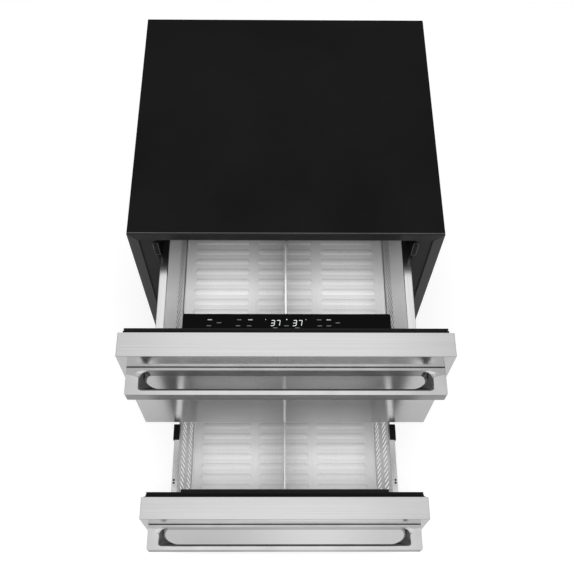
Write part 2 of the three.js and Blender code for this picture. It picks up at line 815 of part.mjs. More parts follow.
function middleSection() {
  const t = slideSheet;
  const low = runGap;
  const high = slideHeight - t - runGap;
  const inner = slideThickness - slideLip + runGap;
  const outer = slideThickness - t - runGap;
  const web = (inner + outer - t) / 2;
  return [
    [inner, low], [outer, low], [outer, low + t], [web + t, low + t],
    [web + t, high - t], [outer, high - t], [outer, high], [inner, high],
    [inner, high - t], [web, high - t], [web, low + t], [inner, low + t],
  ];
}

function drawerSection() {
  const t = slideSheet;
  const inner = slideThickness - slideLip + runGap;
  const outer = slideThickness - t - runGap;
  const lipEnd = (inner + outer - t) / 2 - runGap;
  const low = runGap + t + runGap;
  const high = slideHeight - t - runGap - t - runGap;
  const shelf = slideHeight + slideRise;
  return [
    [0, low], [lipEnd, low], [lipEnd, low + t], [t, low + t], [t, high - t],
    [lipEnd, high - t], [lipEnd, high], [t, high], [t, shelf], [-slideShelf, shelf],
    [-slideShelf, shelf - t], [0, shelf - t],
  ];
}

// Drawers -------------------------------------------------------------------------------

// A drawer front is a folded pan, open at the back, that its foamed core fills.
function drawerFront(top) {
  const back = -closedGap;
  const r = frontEdgeRadius;
  const half = halfWidth - frontSheet;
  const shape = rectangle(-halfWidth + r, halfWidth - r, top - frontHeight + r, top - r);
  const geometry = new THREE.ExtrudeGeometry(shape, {
    depth: frontThickness - r * 2,
    bevelThickness: r,
    bevelSize: r,
    bevelSegments: 2,
  });
  return cut(
    geometry.rotateX(Math.PI / 2).translate(0, back - r, 0),
    block(-half, half, back - frontThickness + frontSheet, back + overshoot,
      top - frontHeight + frontSheet, top - frontSheet));
}

function ringAcross(outerHalf, low, high, width, y0, y1) {
  const shape = rectangle(-outerHalf, outerHalf, low, high);
  shape.holes.push(rectangle(
    -outerHalf + width, outerHalf - width, low + width, high - width));
  return plateAcross(shape, y0, y1);
}

// Three stacked rings make the seal's foot, its folded bellows and its magnet strip.
function gasket(top) {
  const foot = -closedGap + fitGap;
  const half = halfWidth - gasketInset;
  const low = top - frontHeight + gasketInset;
  const high = top - gasketInset;
  const step = gasketDepth / 3;
  return join(
    ringAcross(half, low, high, gasketWidth, foot, foot + step + gasketLap),
    ringAcross(half - gasketLip, low + gasketLip, high - gasketLip,
      gasketWidth - gasketLip * 2, foot + step, foot + step * 2 + gasketLap),
    ringAcross(half, low, high, gasketWidth, foot + step * 2, foot + gasketDepth));
}

// The liner stands inside the gasket, up to the bin that it carries, and is one piece with
// the foamed core of the front.
function doorLiner(top) {
  const reach = gasketInset + gasketWidth + fitGap;
  const shape = roundedRectangle(-halfWidth + reach, halfWidth - reach,
    top - frontHeight + reach, top - reach, doorLinerRadius);
  const wall = frontSheet + fitGap;
  const half = halfWidth - wall;
  const core = block(-half, half, -closedGap - frontThickness + wall, -closedGap,
    top - frontHeight + wall, top - wall);
  return join(core, plateAcross(shape, -closedGap - overlap, -fitGap, 2));
}

function ledgedDoorLiner(top) {
  const high = top - ledgeDrop;
  const ledge = block(-ledgeWidth / 2, ledgeWidth / 2, -fitGap - overlap, ledgeDepth,
    high - ledgeHeight, high);
  return join(doorLiner(top), ledge);
}

// A rounded rectangle as a ring of points, with one radius for its two back corners and
// one for its two front corners.
function scoopRing(halfLength, back, front, backRadius, frontRadius, z) {
  const steps = 5;
  const ring = [];
  const corners = [
    [halfLength - backRadius, back - backRadius, backRadius, 0],
    [-halfLength + backRadius, back - backRadius, backRadius, Math.PI / 2],
    [-halfLength + frontRadius, front + frontRadius, frontRadius, Math.PI],
    [halfLength - frontRadius, front + frontRadius, frontRadius, Math.PI * 1.5],
  ];
  for (const [x, y, radius, start] of corners) {
    for (let i = 0; i <= steps; i += 1) {
      const angle = start + (Math.PI / 2) * (i / steps);
      ring.push(new THREE.Vector3(
        x + radius * Math.cos(angle), y + radius * Math.sin(angle), z));
    }
  }
  return ring;
}

// The handle is one casting: a rail on the front, two end blocks and a bar, round a finger
// slot whose straight-cornered rim runs down into rounded scoops.
function handle(top) {
  const high = top - handleDrop;
  const back = -closedGap - frontThickness - fitGap;
  const front = back - handleReach + fitGap;
  const half = halfWidth - handleInset;
  const sideProfile = outline([
    [back, high],
    [back, high - handleRailHeight],
    [front, high - handleBarHeight],
    [front, high - handleChamferDrop],
    [front + handleChamfer, high],
  ]);
  const plan = roundedRectangle(-half, half, front, back, handleEdgeRadius);
  const body = common(
    plateAlong(sideProfile, -half, half),
    plateFlat(plan, high - handleBarHeight * 2, high + handleBarHeight));
  const rimHalf = half - handleEndWidth;
  const slotBack = back - handleRailDepth;
  const slotFront = front + handleBarDepth;
  const base = high - handleBarHeight - overshoot;
  const waist = handleWaistShare;
  const slot = loft([
    scoopRing(rimHalf - handleScoop, slotBack, slotFront,
      handleBackScoopRadius, handleFrontScoopRadius, base),
    scoopRing(rimHalf - handleScoop, slotBack, slotFront,
      handleBackScoopRadius, handleFrontScoopRadius, base + overshoot * 2),
    scoopRing(rimHalf - handleScoop * waist, slotBack, slotFront,
      THREE.MathUtils.lerp(handleRimRadius, handleBackScoopRadius, waist),
      THREE.MathUtils.lerp(handleRimRadius, handleFrontScoopRadius, waist),
      high - handleWaistDrop),
    scoopRing(rimHalf, slotBack, slotFront, handleRimRadius, handleRimRadius,
      high - overshoot),
    scoopRing(rimHalf, slotBack, slotFront, handleRimRadius, handleRimRadius,
      high + overshoot),
  ]);
  return cut(body, slot);
}

// A pressed rib's round-ended outline, with three flats to each end.
function ribOutline(a0, a1, y) {
  const r = ribWidth / 2;
  const points = [];
  for (const [centre, start] of [[a1 - r, -Math.PI / 2], [a0 + r, Math.PI / 2]]) {
    for (let i = 0; i <= 3; i += 1) {
      const angle = start + (Math.PI * i) / 3;
      points.push([centre + r * Math.cos(angle), y + r * Math.sin(angle)]);
    }
  }
  return outline(points);
}

// The bin's floor with its three columns of pressed ribs.
function binFloor(rim) {
  const top = rim - binHeight;
  const half = binFloorWidth / 2 - fitGap;
  const length = binLength - binSheet - fitGap;
  const sheet = block(-half, half, 0, length, top - binSheet, top);
  const columns = [[-ribSideEnd, -ribSideStart], [-ribInnerEnd, ribInnerEnd],
    [ribSideStart, ribSideEnd]];
  const rows = Math.floor((length - ribStart - ribWidth) / ribPitch) + 1;
  const ribs = [];
  for (const [a0, a1] of columns) {
    for (let row = 0; row < rows; row += 1) {
      const y = ribStart + row * ribPitch;
      ribs.push(plateFlat(ribOutline(a0, a1, y), top - binSheet / 2, top + ribRise));
    }
  }
  return join(sheet, ...ribs);
}

// A side wall leans outward and carries a level flange along its rim.
function binSide(side, rim, slotRises, flangeWidth, flangeLength) {
  const floor = rim - binHeight;
  const angle = Math.atan2(binLean, binHeight);
  const slope = Math.hypot(binLean, binHeight);
  const wall = rectangle(0, binLength, -binSheet, slope - binSheet);
  const slots = Math.floor((binLength - slotMargin * 2) / slotPitch);
  const first = (binLength - (slots - 1) * slotPitch - slotWidth) / 2;
  const slotOutlines = slotRises.flatMap((rise) => Array.from({ length: slots }, (_, i) => {
    const y = first + i * slotPitch;
    return rectangle(y, y + slotWidth, rise, rise + slotHeight);
  }));
  const [x0, x1] = side > 0 ? [0, binSheet] : [-binSheet, 0];
  const foot = (side * binFloorWidth) / 2;
  const plate = cut(plateAlong(wall, x0, x1), plateAlong(slotOutlines, x0 - overshoot, x1 + overshoot))
    .rotateY(side * angle)
    .translate(foot, 0, floor);
  const rimInner = binFloorWidth / 2 + binLean;
  const ends = [side * (rimInner - binSheet / 4), side * (rimInner + flangeWidth)];
  const flange = block(Math.min(...ends), Math.max(...ends), 0, flangeLength,
    rim - binSheet * 2, rim);
  return join(plate, flange);
}

function binBack(rim) {
  const floor = rim - binHeight;
  const low = binFloorWidth / 2 - fitGap;
  const high = low + binLean;
  const shape = outline([
    [-low, floor - binSheet], [low, floor - binSheet], [high, rim - binSheet * 3],
    [-high, rim - binSheet * 3],
  ]);
  return plateAcross(shape, binLength - binSheet, binLength);
}

// The divider is a sheet folded down on both sides, open underneath.
function divider(rim, width) {
  const half = width / 2;
  const low = rim - binHeight + ribRise + fitGap;
  const high = rim - dividerDrop;
  const inner = half - dividerSheet;
  const shape = outline([
    [-half, low], [-inner, low], [-inner, high - dividerSheet], [inner, high - dividerSheet],
    [inner, low], [half, low], [half, high], [-half, high],
  ]);
  return plateAcross(shape, fitGap, binLength - binSheet - fitGap);
}

// The control housing hangs behind the upper front, glass uppermost.
function controlHousing(top) {
  const high = top - controlDrop;
  const low = high - controlHeight;
  const shape = outline([
    [0, low], [controlFootDepth, low], [controlDepth, low + controlSlopeRise],
    [controlDepth, high - controlEdge], [controlDepth - controlEdge / 3, high - controlEdge / 3],
    [controlDepth - controlEdge, high], [0, high],
  ]);
  return plateAlong(shape, -controlWidth / 2, controlWidth / 2);
}

// Assembly ------------------------------------------------------------------------------

const refrigerator = new THREE.Group();

function buildCabinet() {
  const cabinet = new THREE.Group();
  addPiece(cabinet, 'top_panel', topPanel(), blackSteel);
  addPiece(cabinet, 'left_side_panel', sidePanel(-1), blackSteel);
  addPiece(cabinet, 'right_side_panel', sidePanel(1), blackSteel);
  addPiece(cabinet, 'back_panel', backPanel(), zincSteel);
  addPiece(cabinet, 'machine_deck', deck(), zincSteel);
  addPiece(cabinet, 'frame_top_rail', topRail(), frameSteel);
  addPiece(cabinet, 'frame_left_stile', stile(-1), frameSteel);
  addPiece(cabinet, 'frame_right_stile', stile(1), frameSteel);
  addPiece(cabinet, 'frame_mid_rail', midRail(), frameSteel);
  addPiece(cabinet, 'frame_bottom_rail', bottomRail(), frameSteel);
  addPiece(cabinet, 'upper_liner', liner(upperCavity), liningPlastic);
  addPiece(cabinet, 'lower_liner', liner(lowerCavity), liningPlastic);
  addPiece(cabinet, 'insulation_foam', insulation(), foam);
  return cabinet;
}

function buildBase() {
  const base = new THREE.Group();
  addPiece(base, 'base_pan', basePan(), zincSteel);
  addPiece(base, 'kick_grille', kickGrille(), blackSteel);
  addPiece(base, 'compressor', compressor(), compressorBlack);
  addPiece(base, 'condenser', condenser(), coilMetal);
  addPiece(base, 'condenser_fan_guard', condenserFanGuard(), fanPlastic);
  addPiece(base, 'condenser_fan_blade',
    fanBlade(condenserFanX, condenserFanZ, condenserFanY + fanGuardDepth - fanDepth), fanPlastic);
  addPiece(base, 'drip_tray', dripTray(), fanPlastic);
  addPiece(base, 'power_inlet', powerInlet(), fanPlastic);
  for (const [corner, place] of Object.entries(legPlaces)) {
    addPiece(base, `${corner}_leg`, levellingLeg(place), footRubber);
  }
  return base;
}

function buildEvaporator() {
  const group = new THREE.Group();
  addPiece(group, 'evaporator', evaporator(), coilMetal);
  addPiece(group, 'evaporator_cover', evaporatorCover(), liningPlastic);
  addPiece(group, 'evaporator_fan_blade',
    fanBlade(0, evaporatorFanZ, coverFront + coverSheet), fanPlastic);
  return group;
}

// The middle members run out half as far as the drawer does.
function buildSlides(name, rim, open) {
  const foot = rim - binHeight - binSheet - fitGap - slideRise - slideHeight;
  const stages = [
    ['fixed', fixedSection(), 0],
    ['middle', middleSection(), open / 2],
    ['drawer', drawerSection(), open],
  ];
  const slides = new THREE.Group();
  for (const [stage, section, out] of stages) {
    const pair = new THREE.Group();
    pair.position.y = -out;
    addPiece(pair, `${name}_slide_${stage}_left`, slideMember(-1, section, foot), slideSteel);
    addPiece(pair, `${name}_slide_${stage}_right`, slideMember(1, section, foot), slideSteel);
    slides.add(pair);
  }
  return slides;
}

function buildDrawer({ name, top, rim, open, liningOf, slotRises, flangeWidth, flangeLength,
  dividerWidth }) {
  const drawer = new THREE.Group();
  drawer.position.y = -open;
  addPiece(drawer, `${name}_drawer_front`, drawerFront(top), brushedSteel);
  addPiece(drawer, `${name}_gasket`, gasket(top), gasketRubber);
  addPiece(drawer, `${name}_door_liner`, liningOf(top), doorPlastic);
  addPiece(drawer, `${name}_handle`, handle(top), polishedSteel);
  addPiece(drawer, `${name}_bin_floor`, binFloor(rim), binSteel);
  addPiece(drawer, `${name}_bin_left_side`,
    binSide(-1, rim, slotRises, flangeWidth, flangeLength), binSteel);
  addPiece(drawer, `${name}_bin_right_side`,
    binSide(1, rim, slotRises, flangeWidth, flangeLength), binSteel);
  addPiece(drawer, `${name}_bin_back`, binBack(rim), binSteel);
  addPiece(drawer, `${name}_bin_divider`, divider(rim, dividerWidth), binSteel);
  return drawer;
}

const upperDrawer = buildDrawer({
  name: 'upper',
  top: upperFrontTop,
  rim: upperRim,
  open: upperOpen,
  liningOf: doorLiner,
  slotRises: [lowSlotRise],
  flangeWidth: upperFlangeWidth,
  flangeLength: binLength,
  dividerWidth: upperDividerWidth,
});
addPiece(upperDrawer, 'control_housing', controlHousing(upperFrontTop), glossBlack);

const lowerDrawer = buildDrawer({
  name: 'lower',
  top: lowerFrontTop,
  rim: lowerRim,
  open: lowerOpen,
  liningOf: ledgedDoorLiner,
  slotRises: [lowSlotRise, highSlotRise],
  flangeWidth: lowerFlangeWidth,
  flangeLength: lowerFlangeLength,
  dividerWidth: lowerDividerWidth,
});

refrigerator.add(
  buildCabinet(), buildBase(), buildEvaporator(),
  buildSlides('upper', upperRim, upperOpen), upperDrawer,
  buildSlides('lower', lowerRim, lowerOpen), lowerDrawer);

// The part's origin lies on the floor, under the middle of its outline at rest.
const foremost = -lowerOpen - closedGap - frontThickness - handleReach;
refrigerator.position.y = -(foremost + cabinetDepth) / 2;

export default refrigerator;
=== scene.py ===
import json
import math

import bmesh
import bpy
from mathutils import Euler, Matrix, Vector

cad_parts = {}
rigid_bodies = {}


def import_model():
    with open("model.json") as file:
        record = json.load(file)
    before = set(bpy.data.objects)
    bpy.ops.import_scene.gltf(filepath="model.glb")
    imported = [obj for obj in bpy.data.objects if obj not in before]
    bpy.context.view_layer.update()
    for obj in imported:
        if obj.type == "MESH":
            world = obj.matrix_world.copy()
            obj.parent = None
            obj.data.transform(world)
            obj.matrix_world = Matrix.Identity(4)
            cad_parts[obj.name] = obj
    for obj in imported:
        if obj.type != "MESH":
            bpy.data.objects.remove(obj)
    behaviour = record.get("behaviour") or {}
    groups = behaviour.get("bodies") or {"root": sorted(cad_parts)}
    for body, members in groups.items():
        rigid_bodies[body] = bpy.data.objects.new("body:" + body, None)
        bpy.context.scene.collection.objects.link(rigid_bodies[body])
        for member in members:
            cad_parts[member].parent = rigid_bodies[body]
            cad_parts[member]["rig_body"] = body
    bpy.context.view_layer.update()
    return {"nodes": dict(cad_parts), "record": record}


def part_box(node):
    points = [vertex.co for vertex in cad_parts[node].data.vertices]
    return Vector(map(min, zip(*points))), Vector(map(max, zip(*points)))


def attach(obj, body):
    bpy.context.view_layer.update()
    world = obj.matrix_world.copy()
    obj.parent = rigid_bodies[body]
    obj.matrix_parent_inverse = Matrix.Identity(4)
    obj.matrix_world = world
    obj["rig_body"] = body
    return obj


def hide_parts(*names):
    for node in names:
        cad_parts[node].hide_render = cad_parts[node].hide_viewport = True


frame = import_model()
nodes = frame["nodes"]
scene = bpy.context.scene
mm = 0.001
print("frame loaded:", len(nodes), "nodes")


# Camera, at the photograph's viewing angle

cameraLook = {
    "place": (-0.01313, -0.81664, 2.19986),
    "down": 62.732,      # degrees below the horizon
    "yaw": -1.062,
    "roll": 1.05,
    "lens": 51.42,
}

cameraData = bpy.data.cameras.new("photoCamera")
cameraData.lens = cameraLook["lens"]
cameraData.sensor_width = 36
cameraData.clip_end = 60
camera = bpy.data.objects.new("photoCamera", cameraData)
scene.collection.objects.link(camera)
camera.matrix_world = (
    Matrix.Translation(cameraLook["place"])
    @ Euler((0, 0, math.radians(cameraLook["yaw"]))).to_matrix().to_4x4()
    @ Euler((math.radians(90 - cameraLook["down"]), 0, 0)).to_matrix().to_4x4()
    @ Euler((0, 0, math.radians(cameraLook["roll"]))).to_matrix().to_4x4()
)
scene.camera = camera


# Materials

def linear(value):
    # an 8-bit screen grey, or three of them, as scene colour
    values = value if isinstance(value, tuple) else (value,) * 3
    out = []
    for v in values:
        c = v / 255
        out.append(c / 12.92 if c <= 0.04045 else ((c + 0.055) / 1.055) ** 2.4)
    return (*out, 1)


class Wiring:
    # a short way to add and join shader or geometry nodes
    def __init__(self, tree):
        self.tree = tree

    def add(self, kind, values=None, **settings):
        node = self.tree.nodes.new(kind)
        for key, value in settings.items():
            setattr(node, key, value)
        for key, value in (values or {}).items():
            if isinstance(value, bpy.types.NodeSocket):
                self.tree.links.new(value, node.inputs[key])
            else:
                node.inputs[key].default_value = value
        return node

    def math(self, operation, *values):
        # one step of arithmetic
        step = self.add("ShaderNodeMath", dict(enumerate(values)), operation=operation)
        return step.outputs[0]


def startMaterial(name, color, roughness, metallic=0.0):
    material = bpy.data.materials.new(name)
    material.use_nodes = True
    wiring = Wiring(material.node_tree)
    shader = material.node_tree.nodes["Principled BSDF"]
    shader.inputs["Base Color"].default_value = linear(color)
    shader.inputs["Roughness"].default_value = roughness
    shader.inputs["Metallic"].default_value = metallic
    material.diffuse_color = linear(color)
    return material, wiring, shader


def patternAt(wiring, scale):
    # object coordinates stretched by scale, for patterns that stay on the piece
    coordinates = wiring.add("ShaderNodeTexCoord").outputs["Object"]
    return wiring.add("ShaderNodeMapping", {"Vector": coordinates, "Scale": scale}).outputs[0]


asIs = (1, 1, 1)       # a pattern that isn't stretched


def noiseOf(wiring, vector, scale, detail, roughness=0.55):
    return wiring.add("ShaderNodeTexNoise", {
        "Vector": vector, "Scale": scale, "Detail": detail, "Roughness": roughness,
    }).outputs["Fac"]


def remap(wiring, value, low, high, fromLow=0.3, fromHigh=0.7):
    # noise seldom leaves its middle, so that is what gets stretched
    return wiring.add("ShaderNodeMapRange", {
        "Value": value, "From Min": fromLow, "From Max": fromHigh,
        "To Min": low, "To Max": high,
    }).outputs[0]


def tintBetween(wiring, value, dark, light):
    mix = wiring.add("ShaderNodeMix", {"Factor": value}, data_type="RGBA")
    mix.inputs[6].default_value = linear(dark)
    mix.inputs[7].default_value = linear(light)
    return mix.outputs[2]


def raised(wiring, shader, height, distance, strength):
    bump = wiring.add("ShaderNodeBump", {
        "Height": height, "Distance": distance, "Strength": strength,
    })
    wiring.tree.links.new(bump.outputs[0], shader.inputs["Normal"])


def link(wiring, socket, shader, name):
    wiring.tree.links.new(socket, shader.inputs[name])


def brushed(name, dark, light, grain, roughness, bump=0.02 * mm, metallic=1.0, spread=0.0):
    # sheet steel with its grain along one axis: fine streaks, broad cloudiness, faint
    # smudges; spread draws reflections out across a grain that runs along X
    broadGrain, smudgeGrain = (3.0, 3.0, 3.0), (6.0, 6.0, 6.0)
    material, wiring, shader = startMaterial(name, light, roughness, metallic)
    if spread:
        normal = wiring.add("ShaderNodeNewGeometry").outputs["Normal"]
        across = wiring.add("ShaderNodeVectorMath", {0: normal, 1: (1, 0, 0)},
                            operation="CROSS_PRODUCT").outputs[0]
        shader.inputs["Anisotropic"].default_value = spread
        link(wiring, across, shader, "Tangent")
    fine = noiseOf(wiring, patternAt(wiring, grain), 1.0, 3.0, 0.6)
    broad = noiseOf(wiring, patternAt(wiring, broadGrain), 1.0, 2.0)
    both = wiring.math("MULTIPLY", wiring.math("ADD", fine, broad), 0.5)
    link(wiring, tintBetween(wiring, remap(wiring, both, 0, 1, 0.38, 0.62), dark, light),
         shader, "Base Color")
    smudge = noiseOf(wiring, patternAt(wiring, smudgeGrain), 1.0, 1.0)
    link(wiring, remap(wiring, smudge, roughness * 0.92, roughness * 1.1), shader, "Roughness")
    raised(wiring, shader, fine, bump, 0.6)
    return material


def painted(name, dark, light, roughness, texture, bump, gloss=0.5):
    # enamel or moulded plastic: orange-peel bump, uneven gloss, a slight change of tone
    material, wiring, shader = startMaterial(name, light, roughness)
    shader.inputs["Specular IOR Level"].default_value = gloss
    peel = noiseOf(wiring, patternAt(wiring, asIs), texture, 3.0, 0.6)
    broad = noiseOf(wiring, patternAt(wiring, asIs), 5.0, 3.0)
    link(wiring, tintBetween(wiring, remap(wiring, broad, 0, 1), dark, light),
         shader, "Base Color")
    link(wiring, remap(wiring, broad, roughness * 0.85, roughness * 1.15), shader, "Roughness")
    raised(wiring, shader, peel, bump, 0.7)
    return material


def polished(name, dark, light, roughness):
    # a polished casting: nearly mirror, with fine lengthwise polishing lines
    material, wiring, shader = startMaterial(name, light, roughness, 1.0)
    wave = noiseOf(wiring, patternAt(wiring, asIs), 22.0, 1.0)
    swirl = noiseOf(wiring, patternAt(wiring, (9, 320, 320)), 1.0, 2.0)
    link(wiring, tintBetween(wiring, remap(wiring, wave, 0, 1), dark, light),
         shader, "Base Color")
    link(wiring, remap(wiring, swirl, roughness * 0.85, roughness * 1.15), shader, "Roughness")
    raised(wiring, shader, wave, 0.03 * mm, 0.5)
    return material


def glowing(name, color, strength):
    material, wiring, shader = startMaterial(name, color, 0.4)
    shader.inputs["Emission Color"].default_value = linear(color)
    shader.inputs["Emission Strength"].default_value = strength
    # lit print: the tone underneath wavers a little
    dimmer = tuple(int(c * 0.9) for c in color)
    waver = noiseOf(wiring, patternAt(wiring, asIs), 900.0, 1.0)
    link(wiring, tintBetween(wiring, waver, dimmer, color),
         shader, "Base Color")
    return material


# tones, then grain or texture, roughness, depth of the bump, and metal or gloss
enamelBlack = painted("enamelBlack", 0x0d, 0x13, 0.46, 900.0, 0.06 * mm, gloss=0.04)
# a lighter tone of the black enamel, a painted highlight for eased edges
enamelEdge = painted("enamelEdge", 0x58, 0x62, 0.35, 900.0, 0.02 * mm)
# a darker copy of the frame enamel, painted shade for the top rail
railEnamel = painted("railEnamel", 0x16, 0x1c, 0.36, 700.0, 0.02 * mm, gloss=0.22)
frameEnamel = painted("frameEnamel", 0x26, 0x2d, 0.36, 700.0, 0.02 * mm, gloss=0.42)
brushedFront = brushed("brushedFront", 0xd4, 0xde, (2.2, 420, 420), 0.17, 0.002 * mm, 0.94,
                       spread=0.4)
polishedCasting = polished("polishedCasting", 0xd2, 0xdc, 0.07)
# a less polished casting with its tone darkened, a painted shade for the handle's front face
castingSatin = polished("castingSatin", 0x8e, 0x9a, 0.22)
# a darker casting tone, painted shade in the slot's depth and on edges turned to the door
castingRecess = polished("castingRecess", 0x58, 0x64, 0.16)
binFloorSteel = brushed("binFloorSteel", 0xe8, 0xf0, (700, 6, 700), 0.45, 0.003 * mm, 0.05)
binWallSteel = brushed("binWallSteel", 0xd6, 0xe0, (500, 6, 500), 0.3, 0.0008 * mm, 0.6)
rimSteel = brushed("rimSteel", 0xea, 0xf6, (400, 5, 400), 0.2, 0.001 * mm)
dividerSteel = brushed("dividerSteel", 0xf2, 0xfb, (400, 5, 400), 0.25, 0.001 * mm, 0.6)
slideZinc = brushed("slideZinc", 0xa6, 0xb6, (300, 5, 300), 0.34, 0.003 * mm, 0.8)
linerPlastic = painted("linerPlastic", 0x25, 0x2c, 0.55, 600.0, 0.04 * mm, gloss=0.25)
doorBlack = painted("doorBlack", 0x0e, 0x13, 0.4, 800.0, 0.03 * mm, gloss=0.2)
glassBlack = painted("glassBlack", 0x04, 0x06, 0.08, 60.0, 0.004 * mm, gloss=0.04)
displayWhite = glowing("displayWhite", (205, 208, 210), 0.5)
displayGrey = glowing("displayGrey", (150, 152, 154), 0.35)
displayDim = glowing("displayDim", (84, 86, 88), 0.12)
gasketRubber = painted("gasketRubber", 0x0e, 0x14, 0.62, 1200.0, 0.03 * mm, gloss=0.2)
foamCream = painted("foamCream", (0xcf, 0xbe, 0x8c), (0xe2, 0xd3, 0xa0), 0.9, 500.0, 0.3 * mm)
galvanised = brushed("galvanised", 0x8e, 0xa6, (30, 30, 30), 0.42, 0.01 * mm, 0.8)
compressorEnamel = painted("compressorEnamel", 0x10, 0x16, 0.32, 300.0, 0.06 * mm)
coilAluminium = brushed("coilAluminium", 0x96, 0xaa, (60, 60, 500), 0.4, 0.01 * mm)
copperTube = brushed("copperTube", (0x9a, 0x5a, 0x3a), (0xb8, 0x70, 0x4c), (300, 300, 20), 0.3)
fanPlastic = painted("fanPlastic", 0x1a, 0x22, 0.5, 500.0, 0.04 * mm)
footPlastic = painted("footPlastic", 0x16, 0x1e, 0.6, 500.0, 0.05 * mm)
screwSteel = brushed("screwSteel", 0x8c, 0xa2, (400, 400, 400), 0.3)
screwBlack = brushed("screwBlack", 0x14, 0x1c, (400, 400, 400), 0.4)
clipNylon = painted("clipNylon", 0x0c, 0x11, 0.35, 400.0, 0.03 * mm, gloss=0.1)
print("materials made")


# Mesh helpers

def placeInScene(name, mesh, material):
    thing = bpy.data.objects.new(name, mesh)
    scene.collection.objects.link(thing)
    mesh.materials.clear()
    mesh.materials.append(material)
    return thing


def baked(thing):
    # the object with its modifiers worked into a plain mesh
    graph = bpy.context.evaluated_depsgraph_get()
    graph.update()
    mesh = bpy.data.meshes.new_from_object(thing.evaluated_get(graph),
                                           preserve_all_data_layers=True, depsgraph=graph)
    thing.modifiers.clear()
    old = thing.data
    thing.data = mesh
    bpy.data.meshes.remove(old)
    return thing


def smoothBy(thing, degrees):
    # smooth up to the given angle, with flat faces kept flat between their rounded edges
    mesh = thing.data
    dropNormals(mesh)
    mesh.shade_smooth()
    mesh.set_sharp_from_angle(angle=math.radians(degrees))
    flat = thing.modifiers.new("flat", "WEIGHTED_NORMAL")
    flat.keep_sharp = True
    flat.weight = 90
    return baked(thing)


def softEdges(thing, width, segments=3, degrees=30):
    bevel = thing.modifiers.new("edges", "BEVEL")
    bevel.width = width
    bevel.segments = segments
    bevel.limit_method = "ANGLE"
    bevel.angle_limit = math.radians(degrees)
    bevel.harden_normals = True
    bevel.use_clamp_overlap = True
    thing.data.shade_smooth()
    return baked(thing)


def fromFaces(name, points, faces, material):
    mesh = bpy.data.meshes.new(name)
    mesh.from_pydata([Vector(p) for p in points], [], faces)
    mesh.update()
    return placeInScene(name, mesh, material)


def fixNormals(mesh):
    shape = bmesh.new()
    shape.from_mesh(mesh)
    bmesh.ops.remove_doubles(shape, verts=shape.verts, dist=1e-6)
    bmesh.ops.recalc_face_normals(shape, faces=shape.faces)
    shape.to_mesh(mesh)
    shape.free()


def blockMesh(name, low, high, material):
    xs, ys, zs = zip(low, high)
    points = [(x, y, z) for x in xs for y in ys for z in zs]
    faces = [(0, 1, 3, 2), (4, 6, 7, 5), (0, 4, 5, 1), (2, 3, 7, 6), (0, 2, 6, 4), (1, 5, 7, 3)]
    thing = fromFaces(name, points, faces, material)
    fixNormals(thing.data)
    return thing


def arc(across, up, radius, start, sweep, steps):
    # points round a centre, from a start angle in degrees
    turns = [math.radians(start + sweep * k / steps) for k in range(steps + 1)]
    return [(across + radius * math.cos(turn), up + radius * math.sin(turn)) for turn in turns]


def rods(name, loops, closed, material):
    # skins between rings of points; closed joins the last ring to the first, and
    # otherwise both ends are capped
    count = len(loops[0])
    points = [p for ring in loops for p in ring]
    faces = []
    last = len(loops) if closed else len(loops) - 1
    for i in range(last):
        a, b = i * count, ((i + 1) % len(loops)) * count
        for k in range(count):
            n = (k + 1) % count
            faces.append((a + k, a + n, b + n, b + k))
    if not closed:
        faces.append(tuple(range(count - 1, -1, -1)))
        faces.append(tuple((len(loops) - 1) * count + k for k in range(count)))
    thing = fromFaces(name, points, faces, material)
    fixNormals(thing.data)
    return thing


def lathed(profile, sides, material, axis="z"):
    # a solid of revolution from (radius, height) pairs, along Z, Y or X
    loops = []
    for radius, height in profile:
        ring = []
        for k in range(sides):
            angle = math.tau * k / sides
            a, b = radius * math.cos(angle), radius * math.sin(angle)
            ring.append({"z": (a, b, height), "y": (a, height, b), "x": (height, a, b)}[axis])
        loops.append(ring)
    return rods("lathed", loops, False, material)


def joined(name, things, material=None):
    # several finished meshes as one; each keeps its own material
    shape = bmesh.new()
    materials = []
    for thing in things:
        part = bmesh.new()
        part.from_mesh(thing.data)
        own = thing.data.materials[0]
        if own not in materials:
            materials.append(own)
        for face in part.faces:
            face.material_index = materials.index(own)
        copy = bpy.data.meshes.new("part")
        part.to_mesh(copy)
        part.free()
        shape.from_mesh(copy)
        bpy.data.meshes.remove(copy)
    mesh = bpy.data.meshes.new(name)
    shape.to_mesh(mesh)
    shape.free()
    for thing in things:
        bpy.data.meshes.remove(thing.data)
    result = bpy.data.objects.new(name, mesh)
    scene.collection.objects.link(result)
    for own in materials:
        mesh.materials.append(material or own)
    return result


def asPiece(thing, body, slotName, *replaced):
    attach(thing, body)
    if replaced:
        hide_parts(*replaced)
    return thing


def bodyOf(nodeName):
    return nodes[nodeName]["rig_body"]


def slotOf(nodeName):
    for part in frame["record"]["subparts"]:
        if part["node"] == nodeName:
            return part["material_slot"]


def camel(name):
    first, *rest = name.split("_")
    return first + "".join(word.capitalize() for word in rest)


def dropNormals(mesh):
    for layer in [a.name for a in mesh.attributes if a.name.startswith("custom_normal")]:
        mesh.attributes.remove(mesh.attributes[layer])


def dressed(nodeName, material, width, segments=2, degrees=30, edge=None):
    # a cleaned copy of a CAD piece with its edges eased, standing for that piece; edge is
    # a lighter material for the eased faces that look up and to the front, a painted highlight
    mesh = nodes[nodeName].data.copy()
    shape = bmesh.new()
    shape.from_mesh(mesh)
    bmesh.ops.remove_doubles(shape, verts=shape.verts, dist=2e-6)
    bmesh.ops.dissolve_limit(shape, angle_limit=math.radians(0.6), verts=shape.verts,
                             edges=shape.edges)
    shape.to_mesh(mesh)
    shape.free()
    dropNormals(mesh)
    thing = placeInScene(f"{camel(nodeName)}Piece", mesh, material)
    softEdges(thing, width, segments, degrees)
    if edge:
        thing.data.materials.append(edge)
        tilt = 0.2
        for face in thing.data.polygons:
            if min(-face.normal.y, face.normal.z) > tilt:
                face.material_index = 1
    return asPiece(thing, bodyOf(nodeName), slotOf(nodeName), nodeName)


# Geometry node trees

